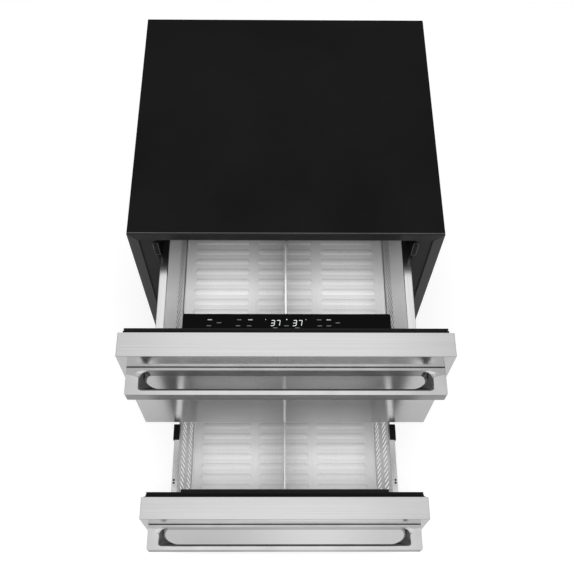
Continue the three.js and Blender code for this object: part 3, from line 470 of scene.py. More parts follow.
def startTree(name, inputs):
    tree = bpy.data.node_groups.new(name, "GeometryNodeTree")
    tree.interface.new_socket(name="Shape", in_out="INPUT", socket_type="NodeSocketGeometry")
    for label, kind in inputs:
        tree.interface.new_socket(name=label, in_out="INPUT", socket_type="NodeSocket" + kind)
    tree.interface.new_socket(name="Result", in_out="OUTPUT", socket_type="NodeSocketGeometry")
    wiring = Wiring(tree)
    return wiring, wiring.add("NodeGroupInput").outputs


def endTree(wiring, geometry, material):
    real = wiring.add("GeometryNodeRealizeInstances", {"Geometry": geometry}).outputs[0]
    merged = wiring.add("GeometryNodeMergeByDistance", {"Geometry": real, "Distance": 1e-6})
    dressedUp = wiring.add("GeometryNodeSetMaterial", {
        "Geometry": merged.outputs[0], "Material": material})
    wiring.add("NodeGroupOutput", {"Result": dressedUp.outputs[0]})
    return wiring.tree


def grown(name, base, tree, values, material):
    # runs a tree on a base mesh object and keeps the plain mesh it makes
    maker = base.modifiers.new("maker", "NODES")
    maker.node_group = tree
    sockets = {item.name: item.identifier for item in tree.interface.items_tree
               if item.in_out == "INPUT"}
    for label, value in values.items():
        maker[sockets[label]] = value
    base.name = name
    result = baked(base)
    result.data.materials.clear()
    result.data.materials.append(material)
    return result


def repeatTree(name, material):
    # places the base shape in a block of rows and columns
    wiring, given = startTree(name, [
        ("Columns", "Int"), ("Rows", "Int"), ("Column Step", "Vector"), ("Row Step", "Vector"),
        ("Start", "Vector")])
    line = wiring.add("GeometryNodeMeshLine", {
        "Count": given["Columns"], "Start Location": given["Start"],
        "Offset": given["Column Step"]})
    row = wiring.add("GeometryNodeMeshLine", {
        "Count": given["Rows"], "Offset": given["Row Step"]})
    places = wiring.add("GeometryNodeInstanceOnPoints", {
        "Points": line.outputs[0], "Instance": row.outputs[0]})
    points = wiring.add("GeometryNodeRealizeInstances", {"Geometry": places.outputs[0]})
    copies = wiring.add("GeometryNodeInstanceOnPoints", {
        "Points": points.outputs[0], "Instance": given["Shape"]})
    return endTree(wiring, copies.outputs[0], material)


def spinTree(name, material):
    # turns copies of the base shape evenly round the Y axis, then moves them to a centre
    wiring, given = startTree(name, [("Count", "Int"), ("Centre", "Vector")])
    points = wiring.add("GeometryNodeMeshLine", {"Count": given["Count"], "Offset": (0, 0, 0)})
    index = wiring.add("GeometryNodeInputIndex").outputs[0]
    angle = wiring.math("MULTIPLY", wiring.math("DIVIDE", index, given["Count"]), math.tau)
    turn = wiring.add("ShaderNodeCombineXYZ", {"Y": angle})
    copies = wiring.add("GeometryNodeInstanceOnPoints", {
        "Points": points.outputs[0], "Instance": given["Shape"],
        "Rotation": turn.outputs[0]})
    moved = wiring.add("GeometryNodeTransform", {
        "Geometry": copies.outputs[0], "Translation": given["Centre"]})
    return endTree(wiring, moved.outputs[0], material)


def sheetTree(name, material):
    # rows of one pierced strip become a leaning sheet of the given thickness, with the
    # first and last strips drawn out to the sheet's plain ends
    wiring, given = startTree(name, [
        ("Count", "Int"), ("Pitch", "Float"), ("First", "Float"), ("Front", "Float"),
        ("Back", "Float"), ("Foot", "Float"), ("Base", "Float"), ("Lean", "Float"),
        ("Thickness", "Float")])

    number = wiring.math
    start = wiring.add("ShaderNodeCombineXYZ", {"Y": given["First"]}).outputs[0]
    step = wiring.add("ShaderNodeCombineXYZ", {"Y": given["Pitch"]}).outputs[0]
    points = wiring.add("GeometryNodeMeshLine", {
        "Count": given["Count"], "Start Location": start, "Offset": step})
    copies = wiring.add("GeometryNodeInstanceOnPoints", {
        "Points": points.outputs[0], "Instance": given["Shape"]})
    real = wiring.add("GeometryNodeRealizeInstances", {"Geometry": copies.outputs[0]})
    merged = wiring.add("GeometryNodeMergeByDistance", {
        "Geometry": real.outputs[0], "Distance": 5e-6}).outputs[0]
    place = wiring.add("GeometryNodeInputPosition").outputs[0]
    split = wiring.add("ShaderNodeSeparateXYZ", {0: place}).outputs
    atFront = number("LESS_THAN", split["Y"], number("ADD", given["First"], 1e-5))
    reach = number("MULTIPLY", given["Count"], given["Pitch"])
    atBack = number("GREATER_THAN", split["Y"],
                    number("SUBTRACT", number("ADD", given["First"], reach), 1e-5))
    middle = number("SUBTRACT", number("SUBTRACT", 1.0, atFront), atBack)
    ends = number("ADD", number("MULTIPLY", atFront, given["Front"]),
                  number("MULTIPLY", atBack, given["Back"]))
    y = number("ADD", number("MULTIPLY", split["Y"], middle), ends)
    x = number("ADD", given["Foot"], number("MULTIPLY", split["Z"], given["Lean"]))
    z = number("ADD", split["Z"], given["Base"])
    target = wiring.add("ShaderNodeCombineXYZ", {"X": x, "Y": y, "Z": z}).outputs[0]
    sheet = wiring.add("GeometryNodeSetPosition", {
        "Geometry": merged, "Position": target}).outputs[0]
    wall = wiring.add("GeometryNodeExtrudeMesh", {
        "Mesh": sheet, "Offset Scale": given["Thickness"], "Individual": False}).outputs[0]
    other = wiring.add("GeometryNodeFlipFaces", {"Mesh": sheet}).outputs[0]
    both = wiring.add("GeometryNodeJoinGeometry")
    wiring.tree.links.new(other, both.inputs[0])
    wiring.tree.links.new(wall, both.inputs[0])
    return endTree(wiring, both.outputs[0], material)


def followTree(name, material):
    # a round tube along the base mesh's edges
    wiring, given = startTree(name, [("Radius", "Float"), ("Sides", "Int")])
    path = wiring.add("GeometryNodeMeshToCurve", {"Mesh": given["Shape"]}).outputs[0]
    ring = wiring.add("GeometryNodeCurvePrimitiveCircle", {
        "Radius": given["Radius"], "Resolution": given["Sides"]}).outputs[0]
    tube = wiring.add("GeometryNodeCurveToMesh", {
        "Curve": path, "Profile Curve": ring, "Fill Caps": True}).outputs[0]
    return endTree(wiring, tube, material)


print("helpers ready")


# Sizes of the CAD pieces that the dressed ones go by

def corners(nodeName):
    low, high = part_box(nodeName)
    return Vector(low), Vector(high)


drawers = ("upper", "lower")
sides = ((-1, "left"), (1, "right"))
fitGap = 0.3 * mm      # between CAD pieces that rest on each other


# Drawer fronts: folded steel pans with eased edges and a hem round the open back

frontLook = {"edge": 1.5 * mm, "sheet": 1.08 * mm, "hem": 9 * mm}


def panFront(name):
    low, high = corners(f"{name}_drawer_front")
    pan = blockMesh(f"{name}FrontPan", low, high, brushedFront)
    shape = bmesh.new()
    shape.from_mesh(pan.data)
    back = [f for f in shape.faces if f.normal.y > 0.9]
    bmesh.ops.delete(shape, geom=back, context="FACES_ONLY")
    edges = [e for e in shape.edges if not e.is_boundary]
    bmesh.ops.bevel(shape, geom=edges, offset=frontLook["edge"], segments=4, profile=0.5,
                    affect="EDGES", clamp_overlap=True)
    rim = [e for e in shape.edges if e.is_boundary]
    hem = bmesh.ops.extrude_edge_only(shape, edges=rim)["geom"]
    centre = (low + high) / 2
    straight = (high - low) / 2 - Vector((2, 2, 2)) * frontLook["edge"]
    for vertex in [g for g in hem if isinstance(g, bmesh.types.BMVert)]:
        out = vertex.co - centre
        for axis in (0, 2):
            inward = min(1, abs(out[axis]) / straight[axis])
            vertex.co[axis] -= math.copysign(frontLook["hem"], out[axis]) * inward
    bmesh.ops.recalc_face_normals(shape, faces=shape.faces)
    shape.to_mesh(pan.data)
    shape.free()
    thick = pan.modifiers.new("sheet", "SOLIDIFY")
    thick.thickness = frontLook["sheet"]
    thick.offset = -1
    baked(pan)
    smoothBy(pan, 35)
    return asPiece(pan, f"{name}_drawer", "brushed_steel", f"{name}_drawer_front")


for name in drawers:
    panFront(name)
print("drawer fronts folded")


# Handles: one polished casting each, with a finger slot that scoops out to both ends

handleLook = {
    "chamfer": 4.5 * mm, "chamferDrop": 1.6 * mm,      # of the top front edge
    "rail": 28.5 * mm, "railDepth": 6 * mm,            # the part that is screwed to the door
    "end": 23.6 * mm, "barDepth": 7.3 * mm,            # solid metal beside and before the slot
    "corner": 2 * mm, "edge": 0.9 * mm,
    "seam": (1.1 * mm, 0.9 * mm),      # chamfer along the top edge at the door: across, down
    "draft": 0.45 * mm, "steps": 10, "dish": 2.4 * mm, "over": 2 * mm,
    # the rim's back corners: where each leaves the slot's end, its point, where it joins
    # the back, each as (outward, forward)
    "beak": ((0, 14.5), (9, 5.4), (-6, 0)),
    "rimCorner": (8 * mm, 5 * mm),     # the rim's front corners: across, back
    # down from the rim: end growth, bar growth, then the reach across and back of the
    # slot's back corners and of its front corners
    "scoop": ((2.4, 1.2, 4.2, 20, 14, 10, 7), (4.5, 6.4, 4.8, 10, 9, 20, 15),
              (8, 9.6, 4.8, 7, 9, 38, 22),
              (13, 10.4, 4.8, 7, 9.4, 42, 24), (22, 10.4, 4.8, 7, 9.4, 42, 24),
              (30, 10.4, 4.8, 7, 9.4, 42, 24)),
}


def slotRing(halfLength, back, front, backReach, frontReach, z, beak=None):
    # an outline of the slot; a beak draws its back corners out sideways to a point
    steps = handleLook["steps"]
    ring = []
    for side, y, toFront, reach, start in (
        (1, back, -1, backReach, 0), (-1, back, -1, backReach, 90),
        (-1, front, 1, frontReach, 180), (1, front, 1, frontReach, 270),
    ):
        for i in range(steps + 1):
            angle = math.radians(start + 90 * i / steps)
            x = side * (halfLength - reach[0]) + reach[0] * math.cos(angle)
            depth = y + toFront * reach[1] + reach[1] * math.sin(angle)
            if beak and toFront < 0:
                turned = 2 * i / steps if side > 0 else 2 - 2 * i / steps
                first = min(1, int(turned))
                (outA, frontA), (outB, frontB) = beak[first], beak[first + 1]
                share = turned - first
                x = side * (halfLength + (outA + (outB - outA) * share) * mm)
                depth = y - (frontA + (frontB - frontA) * share) * mm
            ring.append((x, depth, z))
    return ring


def castHandle(name):
    look = handleLook
    low, high = corners(f"{name}_handle")
    front, back, top, bottom = low.y, high.y, high.z, low.z
    seamAcross, seamDown = look["seam"]
    profile = [(back - seamAcross, top), (back, top - seamDown),
               (back, top - look["rail"]), (front + look["draft"], bottom),
               (front, top - look["chamferDrop"]), (front + look["chamfer"], top)]
    body = rods(f"{name}HandleCasting",
                [[(x, y, z) for y, z in profile] for x in (low.x, high.x)], False,
                polishedCasting)
    shape = bmesh.new()
    shape.from_mesh(body.data)
    upright = [e for e in shape.edges
               if abs(e.verts[0].co.x - e.verts[1].co.x) < 1e-6
               and all(v.co.y < front + look["draft"] + 1e-5 for v in e.verts)]
    bmesh.ops.bevel(shape, geom=upright, offset=look["corner"], segments=4, profile=0.5,
                    affect="EDGES")
    shape.to_mesh(body.data)
    shape.free()
    half = high.x - look["end"]
    slotBack, slotFront = back - look["railDepth"], front + look["barDepth"]
    corner = look["rimCorner"]
    rings = [slotRing(half, slotBack, slotFront, corner, corner, top, look["beak"])]
    for down, shorter, thicker, *reach in look["scoop"]:
        across, along = reach[:2], reach[2:]
        rings.append(slotRing(half - shorter * mm, slotBack, slotFront + thicker * mm,
                              [r * mm for r in across], [r * mm for r in along],
                              top - down * mm))
    rings.insert(0, [(x, y, top + look["over"]) for x, y, z in rings[0]])
    rings.append([(x, y, bottom - look["over"]) for x, y, z in rings[-1]])
    cutter = rods("cutter", rings, False, castingRecess)
    cutter.data.materials.append(polishedCasting)
    for face in cutter.data.polygons:
        # the shallow dish round the rim is polished like the rest; the depth gets the darker tone,
        # a painted shade in the slot
        face.material_index = int(face.center.z > top - look["dish"])
    hole = body.modifiers.new("slot", "BOOLEAN")
    hole.operation = "DIFFERENCE"
    hole.solver = "EXACT"
    hole.material_mode = "TRANSFER"
    hole.object = cutter
    baked(body)
    bpy.data.objects.remove(cutter)
    softEdges(body, look["edge"], 3, 34)
    body.data.materials.append(castingSatin)
    finishes = list(body.data.materials)
    frontShade, deep = finishes.index(castingSatin), finishes.index(castingRecess)
    for face in body.data.polygons:
        turn = face.normal
        alongBar = abs(turn.x) < 0.2 or face.center.y < slotFront + look["rimCorner"][1]
        toDoor = turn.y > 0.25 and turn.z > 0.05
        # the front face gets the darkened tone, a painted shade
        if turn.y < -0.99:
            face.material_index = frontShade
        elif toDoor and alongBar:
            face.material_index = deep    # edges turned to the door get the darker tone, a painted dark reflection
    smoothBy(body, 50)
    return asPiece(body, f"{name}_drawer", "polished_casting", f"{name}_handle")


for name in drawers:
    castHandle(name)
print("handles cast")


# Bins: pierced leaning walls, rolled rims, a ribbed floor and a folded divider

binLook = {
    "sheet": 1.2 * mm, "lean": 6 * mm, "height": 224 * mm,
    "slot": (5.5 * mm, 61 * mm), "pitch": 11.5 * mm, "bareEnds": 28 * mm,
    "rises": {"upper": (25 * mm,), "lower": (25 * mm, 130 * mm)},      # rows of slots
    "slotMargin": 4 * mm,      # bare sheet over and under a slot within its strip
    "bend": 2.4 * mm, "lip": 1.2 * mm, "lipReach": 5 * mm, "shortFlange": 155 * mm,
    "fillet": 4 * mm, "seam": 1.1 * mm,
    "ribLength": 124 * mm, "ribWidth": 15 * mm, "ribRise": 2 * mm,
    "ribColumns": 3, "ribColumn": 141 * mm, "ribPitch": 25.4 * mm,
    "ribStart": {"upper": 12.9 * mm, "lower": 18.5 * mm},
    # a rib from its skirt to its crown: share of the half width, share of the rise
    "ribProfile": ((0, -0.25), (0.05, 0.05), (0.16, 0.26), (0.32, 0.56), (0.5, 0.82),
                   (0.7, 0.96), (0.86, 1.0)),
    "frontSheet": 0.8 * mm, "frontGap": 0.05 * mm, "frontOver": 0.1 * mm, "frontEdge": 0.3 * mm,
    "foldSheet": 0.6 * mm, "foldRadius": 0.8 * mm, "foldTop": 3.4 * mm, "backEdge": 0.4 * mm,
    # the dressed sheets are this much of the CAD sheet, to stay inside it
    "thinner": {"wall": 0.85, "flange": 0.75, "floor": 0.9},
}


def piercedStrip(rises, height):
    # one pitch of flat sheet standing on Y-Z, with a round-ended slot at each rise
    look = binLook
    width, tall = look["slot"]
    pitch, margin, radius = look["pitch"], look["slotMargin"], width / 2
    levels = [0.0]
    for rise in rises:
        levels += [rise - margin, rise + tall + margin]
    levels.append(height)
    shape = bmesh.new()
    for i, (low, high) in enumerate(zip(levels, levels[1:])):
        part = bmesh.new()
        outer = [part.verts.new((0, y, z)) for y, z in
                 ((0, low), (pitch, low), (pitch, high), (0, high))]
        if i % 2 == 0:
            part.faces.new(outer)
        else:
            ring = [part.verts.new((0, y, z)) for y, z in
                    arc(pitch / 2, low + margin + radius, radius, 180, 180, 4)
                    + arc(pitch / 2, high - margin - radius, radius, 0, 180, 4)]
            for verts in (outer, ring):
                for a, b in zip(verts, verts[1:] + verts[:1]):
                    part.edges.new((a, b))
            bmesh.ops.triangle_fill(part, edges=part.edges, use_beauty=True,
                                    use_dissolve=False)
        mesh = bpy.data.meshes.new("part")
        part.to_mesh(mesh)
        part.free()
        shape.from_mesh(mesh)
        bpy.data.meshes.remove(mesh)
    bmesh.ops.remove_doubles(shape, verts=shape.verts, dist=1e-6)
    for face in shape.faces:
        face.normal_update()
        if face.normal.x < 0:
            face.normal_flip()
    mesh = bpy.data.meshes.new("strip")
    shape.to_mesh(mesh)
    shape.free()
    return placeInScene("strip", mesh, binWallSteel)


piercing = sheetTree("piercedSheet", binWallSteel)
repeating = repeatTree("ribRows", binFloorSteel)


def rimFlange(side, foot, rimZ, low, high, reach):
    # the wall's top rolls outward into a level flange with its outer edge turned down
    look = binLook
    bend, lip = look["bend"], look["lip"]
    inner = foot + look["lean"]
    outer = inner + reach
    outline = arc(inner + bend, rimZ - bend, bend, 180, -90, 5)
    outline += arc(outer - lip, rimZ - lip, lip, 90, -90, 4)
    outline.append((outer, rimZ - 2 * lip))
    thin = look["sheet"] * look["thinner"]["flange"]
    back = []
    for i, (x, z) in enumerate(outline):
        before = outline[max(0, i - 1)]
        after = outline[min(len(outline) - 1, i + 1)]
        dx, dz = after[0] - before[0], after[1] - before[1]
        size = math.hypot(dx, dz)
        back.append((x + dz / size * thin, z - dx / size * thin))
    section = outline + back[::-1]
    loops = [[(side * x, y, z) for x, z in section] for y in (low, high)]
    return rods("flange", loops, False, rimSteel)


def binWall(name, side, label):
    look = binLook
    low, high = corners(f"{name}_bin_{label}_side")
    foot = corners(f"{name}_bin_floor")[1].x + fitGap
    base = high.z - look["height"] - look["sheet"]
    strip = piercedStrip([r + look["sheet"] for r in look["rises"][name]],
                         look["height"] + look["sheet"] - look["bend"])
    count = int((high.y - low.y - look["bareEnds"]) / look["pitch"])
    wall = grown(f"{name}Wall", strip, piercing, {
        "Count": count, "Pitch": look["pitch"],
        "First": (low.y + high.y - count * look["pitch"]) / 2,
        "Front": low.y, "Back": high.y, "Foot": side * foot, "Base": base,
        "Lean": side * look["lean"] / look["height"],
        "Thickness": side * look["sheet"] * look["thinner"]["wall"]}, binWallSteel)
    fixNormals(wall.data)
    reach = (high.x if side > 0 else -low.x) - foot - look["lean"]
    end = high.y if name == "upper" else low.y + look["shortFlange"]
    parts = [wall, rimFlange(side, foot, high.z, low.y, end, reach)]
    if end < high.y:
        parts.append(rimFlange(side, foot, high.z, end, high.y, look["lipReach"]))
    whole = joined(f"{name}Bin{label.capitalize()}Wall", parts)
    smoothBy(whole, 40)
    return asPiece(whole, f"{name}_drawer", "bin_steel", f"{name}_bin_{label}_side")


def ribShape():
    # a pressed rib: a long dome with round ends whose skirt runs out onto the sheet
    look = binLook
    half, radius = look["ribLength"] / 2, look["ribWidth"] / 2
    loops = []
    for inset, rise in look["ribProfile"]:
        r = radius * (1 - inset)
        loops.append([(x, y, look["ribRise"] * rise) for x, y in
                      arc(half - radius, 0, r, -90, 180, 6) + arc(radius - half, 0, r, 90, 180, 6)])
    return rods("rib", loops, False, binFloorSteel)


def binBase(name):
    look = binLook
    low, high = corners(f"{name}_bin_floor")
    top = high.z - look["ribRise"]
    start = look["ribStart"][name]
    rows = int((high.y - low.y - start - look["ribWidth"]) / look["ribPitch"]) + 1
    ribs = grown("ribs", ribShape(), repeating, {
        "Columns": look["ribColumns"], "Rows": rows, "Column Step": (look["ribColumn"], 0, 0),
        "Row Step": (0, look["ribPitch"], 0),
        "Start": (-look["ribColumn"], low.y + start, top)}, binFloorSteel)
    # the sheet turns up towards both walls through a small radius
    r = look["fillet"]
    under = top - look["sheet"] * look["thinner"]["floor"]
    edge = high.x - look["seam"]
    turn = arc(edge - r, top + r, r, -90, 90, 6)
    section = [(-edge, under), (edge, under)] + turn[::-1] + [(-x, z) for x, z in turn]
    loops = [[(x, y, z) for x, z in section] for y in (low.y, high.y)]
    sheet = rods("sheet", loops, False, binFloorSteel)
    whole = joined(f"{name}BinBase", [sheet, ribs])
    smoothBy(whole, 50)
    return asPiece(whole, f"{name}_drawer", "bin_steel", f"{name}_bin_floor")


def foldedDivider(name):
    # a sheet folded down both sides, narrower at its rounded top edge than at its feet
    low, high = corners(f"{name}_bin_divider")
    radius, sheet = binLook["foldRadius"], binLook["foldSheet"]
    top = min(binLook["foldTop"], high.x - low.x) / 2
    outer, inner = [(high.x, low.z)], [(high.x - sheet, low.z)]
    for centre, start in ((top - radius, 0), (radius - top, 90)):
        outer += arc(centre, high.z - radius, radius, start, 90, 4)
        inner += arc(centre, high.z - radius, radius - sheet, start, 90, 4)
    outer.append((low.x, low.z))
    inner.append((low.x + sheet, low.z))
    section = outer + inner[::-1]
    loops = [[(x, y, z) for x, z in section] for y in (low.y, high.y)]
    thing = rods(f"{name}DividerFold", loops, False, dividerSteel)
    smoothBy(thing, 40)
    return asPiece(thing, f"{name}_drawer", "bin_steel", f"{name}_bin_divider")


def binFront(name):
    # the sheet that closes the bin behind the door, cut to the lean of both walls
    look = binLook
    low, high = corners(f"{name}_bin_floor")
    top = corners(f"{name}_bin_back")[1].z
    base = corners(f"{name}_bin_right_side")[1].z - look["height"] - look["sheet"]
    halfLow, halfTop = [high.x + look["frontOver"] + (z - base) * look["lean"] / look["height"]
                        for z in (high.z, top)]
    section = [(halfLow, high.z), (-halfLow, high.z), (-halfTop, top), (halfTop, top)]
    behind = low.y + look["frontGap"]
    loops = [[(x, y, z) for x, z in section] for y in (behind, behind + look["frontSheet"])]
    sheet = rods(f"{name}BinFront", loops, False, dividerSteel)
    softEdges(sheet, look["frontEdge"])
    return asPiece(sheet, f"{name}_drawer", "bin_steel")


for name in drawers:
    binBase(name)
    binFront(name)
    foldedDivider(name)
    for side, label in sides:
        binWall(name, side, label)
    dressed(f"{name}_bin_back", binWallSteel, binLook["backEdge"])
print("bins pressed and pierced")


# Door liners: the foamed core inside each pan and a raised plate inside the gasket

linerLook = {
    "core": 1.6 * mm, "hem": 1.4 * mm,                 # the foam stands in from pan and hem
    "inset": 14.3 * mm, "gap": 13 * mm, "reach": 0.3 * mm,
    "corner": 4 * mm, "edge": 1.6 * mm, "overlap": 1 * mm,
    "ledge": (444 * mm, 8.5 * mm, 10 * mm), "ledgeDrop": 20.5 * mm, "ledgeEdge": 1.2 * mm,
}


def roundedLoop(lowX, highX, lowZ, highZ, radius, y):
    loop = []
    for x, z, start in ((highX - radius, lowZ + radius, 270), (highX - radius, highZ - radius, 0),
                        (lowX + radius, highZ - radius, 90), (lowX + radius, lowZ + radius, 180)):
        loop += [(px, y, pz) for px, pz in arc(x, z, radius, start, 90, 5)]
    return loop


def innerDoor(name):
    look = linerLook
    low, high = corners(f"{name}_drawer_front")
    face = high.y + look["gap"] - look["reach"]
    core = blockMesh("core", low + Vector((1, 1, 1)) * look["core"],
                     Vector((high.x - look["core"], high.y - look["hem"],
                             high.z - look["core"])), doorBlack)
    inset, edge = look["inset"], look["edge"]
    loops = []
    for y, back in ((high.y - look["hem"] - look["overlap"], 0), (face - edge, 0),
                    (face - edge * 0.3, edge * 0.3), (face, edge)):
        loops.append(roundedLoop(low.x + inset + back, high.x - inset - back,
                                 low.z + inset + back, high.z - inset - back,
                                 look["corner"], y))
    parts = [core, rods("plate", loops, False, doorBlack)]
    if name == "lower":
        width, depth, height = look["ledge"]
        top = high.z - look["ledgeDrop"]
        ledge = blockMesh("ledge", (-width / 2, face - look["overlap"], top - height),
                          (width / 2, high.y + look["gap"] + depth, top), doorBlack)
        parts.append(softEdges(ledge, look["ledgeEdge"]))
    whole = joined(f"{name}InnerDoor", parts)
    smoothBy(whole, 40)
    return asPiece(whole, f"{name}_drawer", "door_plastic", f"{name}_door_liner")


for name in drawers:
    innerDoor(name)
print("inner doors made")


# Gaskets: a folded bellows with its magnet strip, mitred at the corners

gasketLook = {
    "depth": 12.2,
    # once round the section, each as (inward, out from the door)
    "profile": ((0, 0), (10, 0), (10, 1.6), (7.4, 2.6), (6.6, 4.4), (9.2, 5.6), (9.6, 6.4),
                (7.6, 7.6), (7.2, 8.6), (10, 9.6), (10, 11.6), (9.5, 12.2), (5.1, 12.2),
                (4.6, 11.6), (4.6, 9.6), (5.6, 8.6), (5.2, 7.6), (3.2, 6.4), (3.4, 5.6),
                (4.4, 4.4), (3.2, 2.6), (0.6, 1.6)),
}


def bellows(name):
    low, high = corners(f"{name}_gasket")
    loops = []
    for inset, out in gasketLook["profile"]:
        i = inset * mm
        y = low.y + out * (high.y - low.y) / gasketLook["depth"]
        loops.append([(low.x + i, y, low.z + i), (high.x - i, y, low.z + i),
                      (high.x - i, y, high.z - i), (low.x + i, y, high.z - i)])
    seal = rods(f"{name}Bellows", loops, True, gasketRubber)
    smoothBy(seal, 46)
    return asPiece(seal, f"{name}_drawer", "gasket_rubber", f"{name}_gasket")


for name in drawers:
    bellows(name)
print("gaskets moulded")


# Control panel of the upper drawer: one glossy nose with lit figures and marks in its glass

panelLook = {
    "nose": 3 * mm, "foot": 14.4 * mm, "slope": 17 * mm, "end": 2.2 * mm, "steps": 5,
    "wider": (2 * mm, 4 * mm),         # how far the glass stands out over its solid's ends
    "lift": 0.12 * mm, "markDepth": 0.1 * mm,
    "figureSize": (7.2 * mm, 11.6 * mm), "stroke": 0.95 * mm, "strokeGap": 0.12,
    "slant": 0.16, "space": 2.6 * mm,
    "figures": ((-20 * mm, "37"), (20 * mm, "37")), "figureRow": 19 * mm,
    "dots": ((1, 12.5, 0.9), (-37.5, 12.5, 0.6), (36, 12.5, 0.6)),
    "litBars": ((-139, 13), (-65.4, 13), (77.4, 13)),
    "dimBars": ((-122.1, 19), (-140.4, 25), (-85.5, 13), (-87.3, 25), (-67.2, 25), (60, 13),
                (93.9, 19), (61.0, 25), (77.4, 25), (-20, 29), (20, 29), (0.5, 25)),
    "barSize": (8 * mm, 1.5 * mm),
}

segments = {"3": "abcdg", "7": "abc"}      # the lit strokes of a figure


def controlPanel():
    look = panelLook
    low, high = corners("control_housing")
    low.x -= look["wider"][0]
    high.x += look["wider"][1]
    r = look["nose"]
    section = [(low.y, low.z), (low.y + look["foot"], low.z), (high.y, low.z + look["slope"]),
               *arc(high.y - r, high.z - r, r, 0, 90, look["steps"]), (low.y, high.z)]
    end = look["end"]
    loops = []
    for x, share in ((low.x, 1), (low.x + end * 0.3, 0.3), (low.x + end, 0),
                     (high.x - end, 0), (high.x - end * 0.3, 0.3), (high.x, 1)):
        loops.append([(x, y - (y - low.y) * end * share / (high.y - low.y),
                       z + ((low.z + high.z) / 2 - z) * 2 * end * share
                       / (high.z - low.z)) for y, z in section])
    nose = rods("controlNose", loops, False, glassBlack)
    smoothBy(nose, 35)
    return asPiece(nose, "upper_drawer", "control_glass", "control_housing")


def flatMark(points, top):
    # a thin raised mark from an outline seen from above
    loops = [[(x, y, z) for x, y in points]
             for z in (top + panelLook["lift"] - panelLook["markDepth"], top + panelLook["lift"])]
    return rods("mark", loops, False, displayWhite)


def strokeOf(a, b, width):
    # a seven-segment stroke with pointed ends
    dx, dy = b[0] - a[0], b[1] - a[1]
    size = math.hypot(dx, dy)
    ux, uy = dx / size, dy / size
    h = width / 2
    gap = panelLook["strokeGap"] * width
    a = (a[0] + ux * gap, a[1] + uy * gap)
    b = (b[0] - ux * gap, b[1] - uy * gap)
    return [a, (a[0] + ux * h - uy * h, a[1] + uy * h + ux * h),
            (b[0] - ux * h - uy * h, b[1] - uy * h + ux * h), b,
            (b[0] - ux * h + uy * h, b[1] - uy * h - ux * h),
            (a[0] + ux * h + uy * h, a[1] + uy * h - ux * h)]


def figure(digit, x, y):
    width, height = panelLook["figureSize"]
    w, h = width - panelLook["stroke"], (height - panelLook["stroke"]) / 2
    ends = {
        "a": ((0, 2 * h), (w, 2 * h)), "b": ((w, h), (w, 2 * h)), "c": ((w, 0), (w, h)),
        "d": ((0, 0), (w, 0)), "g": ((0, h), (w, h)),
    }
    for letter in segments[digit]:
        points = strokeOf(*ends[letter], panelLook["stroke"])
        yield [(x + px + py * panelLook["slant"], y + py) for px, py in points]


def controlMarks():
    look = panelLook
    low, high = corners("control_housing")
    wide, tall = look["figureSize"]
    lit = []
    for middle, text in look["figures"]:
        for i, digit in enumerate(text):
            x = middle - wide - look["space"] / 2 + i * (wide + look["space"])
            y = high.y - look["figureRow"] - tall / 2
            lit += [flatMark(points, high.z) for points in figure(digit, x, y)]
    for x, y, radius in look["dots"]:
        ring = [((x + radius * math.cos(k * math.tau / 12)) * mm,
                 high.y - (y + radius * math.sin(k * math.tau / 12)) * mm)
                for k in range(12)]
        lit.append(flatMark(ring, high.z))
    asPiece(joined("controlFigures", lit, displayWhite), "upper_drawer", "control_glass")
    w, d = look["barSize"][0] / 2, look["barSize"][1] / 2
    for title, bars, material in (("controlLitBars", look["litBars"], displayGrey),
                                  ("controlDimBars", look["dimBars"], displayDim)):
        marks = []
        for x, y in bars:
            x, y = x * mm, high.y - y * mm
            marks.append(flatMark([(x - w, y - d), (x + w, y - d), (x + w, y + d),
                                   (x - w, y + d)], high.z))
        asPiece(joined(title, marks, material), "upper_drawer", "control_glass")


controlPanel()
controlMarks()
print("control panel lit")


# Cabinet: sheet panels, face frame, compartment tubs, foam and the machine-space sheets

easing = {"sheet": 0.5 * mm, "top": 0.9 * mm, "frame": 0.55 * mm, "tub": 0.8 * mm, "foam": 2 * mm,
          "section": 0.22 * mm}

# the top panel's eased front edge gets the lighter enamel, a painted highlight
dressed("top_panel", enamelBlack, easing["top"], edge=enamelEdge)
for name in ("left_side_panel", "right_side_panel"):
    dressed(name, enamelBlack, easing["sheet"])
# the top rail takes the darker copy of the frame enamel, a painted shade
dressed("frame_top_rail", railEnamel, easing["frame"])
for name in ("frame_left_stile", "frame_right_stile", "frame_mid_rail",
             "frame_bottom_rail"):
    dressed(name, frameEnamel, easing["frame"])
for name in ("upper_liner", "lower_liner"):
    dressed(name, linerPlastic, easing["tub"], 3, 40)
dressed("insulation_foam", foamCream, easing["foam"], 2, 60)
for name in ("machine_deck", "back_panel"):
    dressed(name, galvanised, easing["sheet"], 2, 60)
dressed("base_pan", galvanised, easing["sheet"], 2, 50)
dressed("kick_grille", enamelBlack, easing["sheet"], 2, 60)
dressed("evaporator_cover", linerPlastic, easing["tub"] / 2, 2, 45)
dressed("drip_tray", fanPlastic, easing["tub"] / 2, 3, 45)
for name in drawers:
    for stage in ("fixed", "middle", "drawer"):
        for side, label in sides:
            dressed(f"{name}_slide_{stage}_{label}", slideZinc, easing["section"], 2, 45)
print("cabinet and slides dressed")


# Small fittings: screws, clips at the opening's corners, flange studs and stops

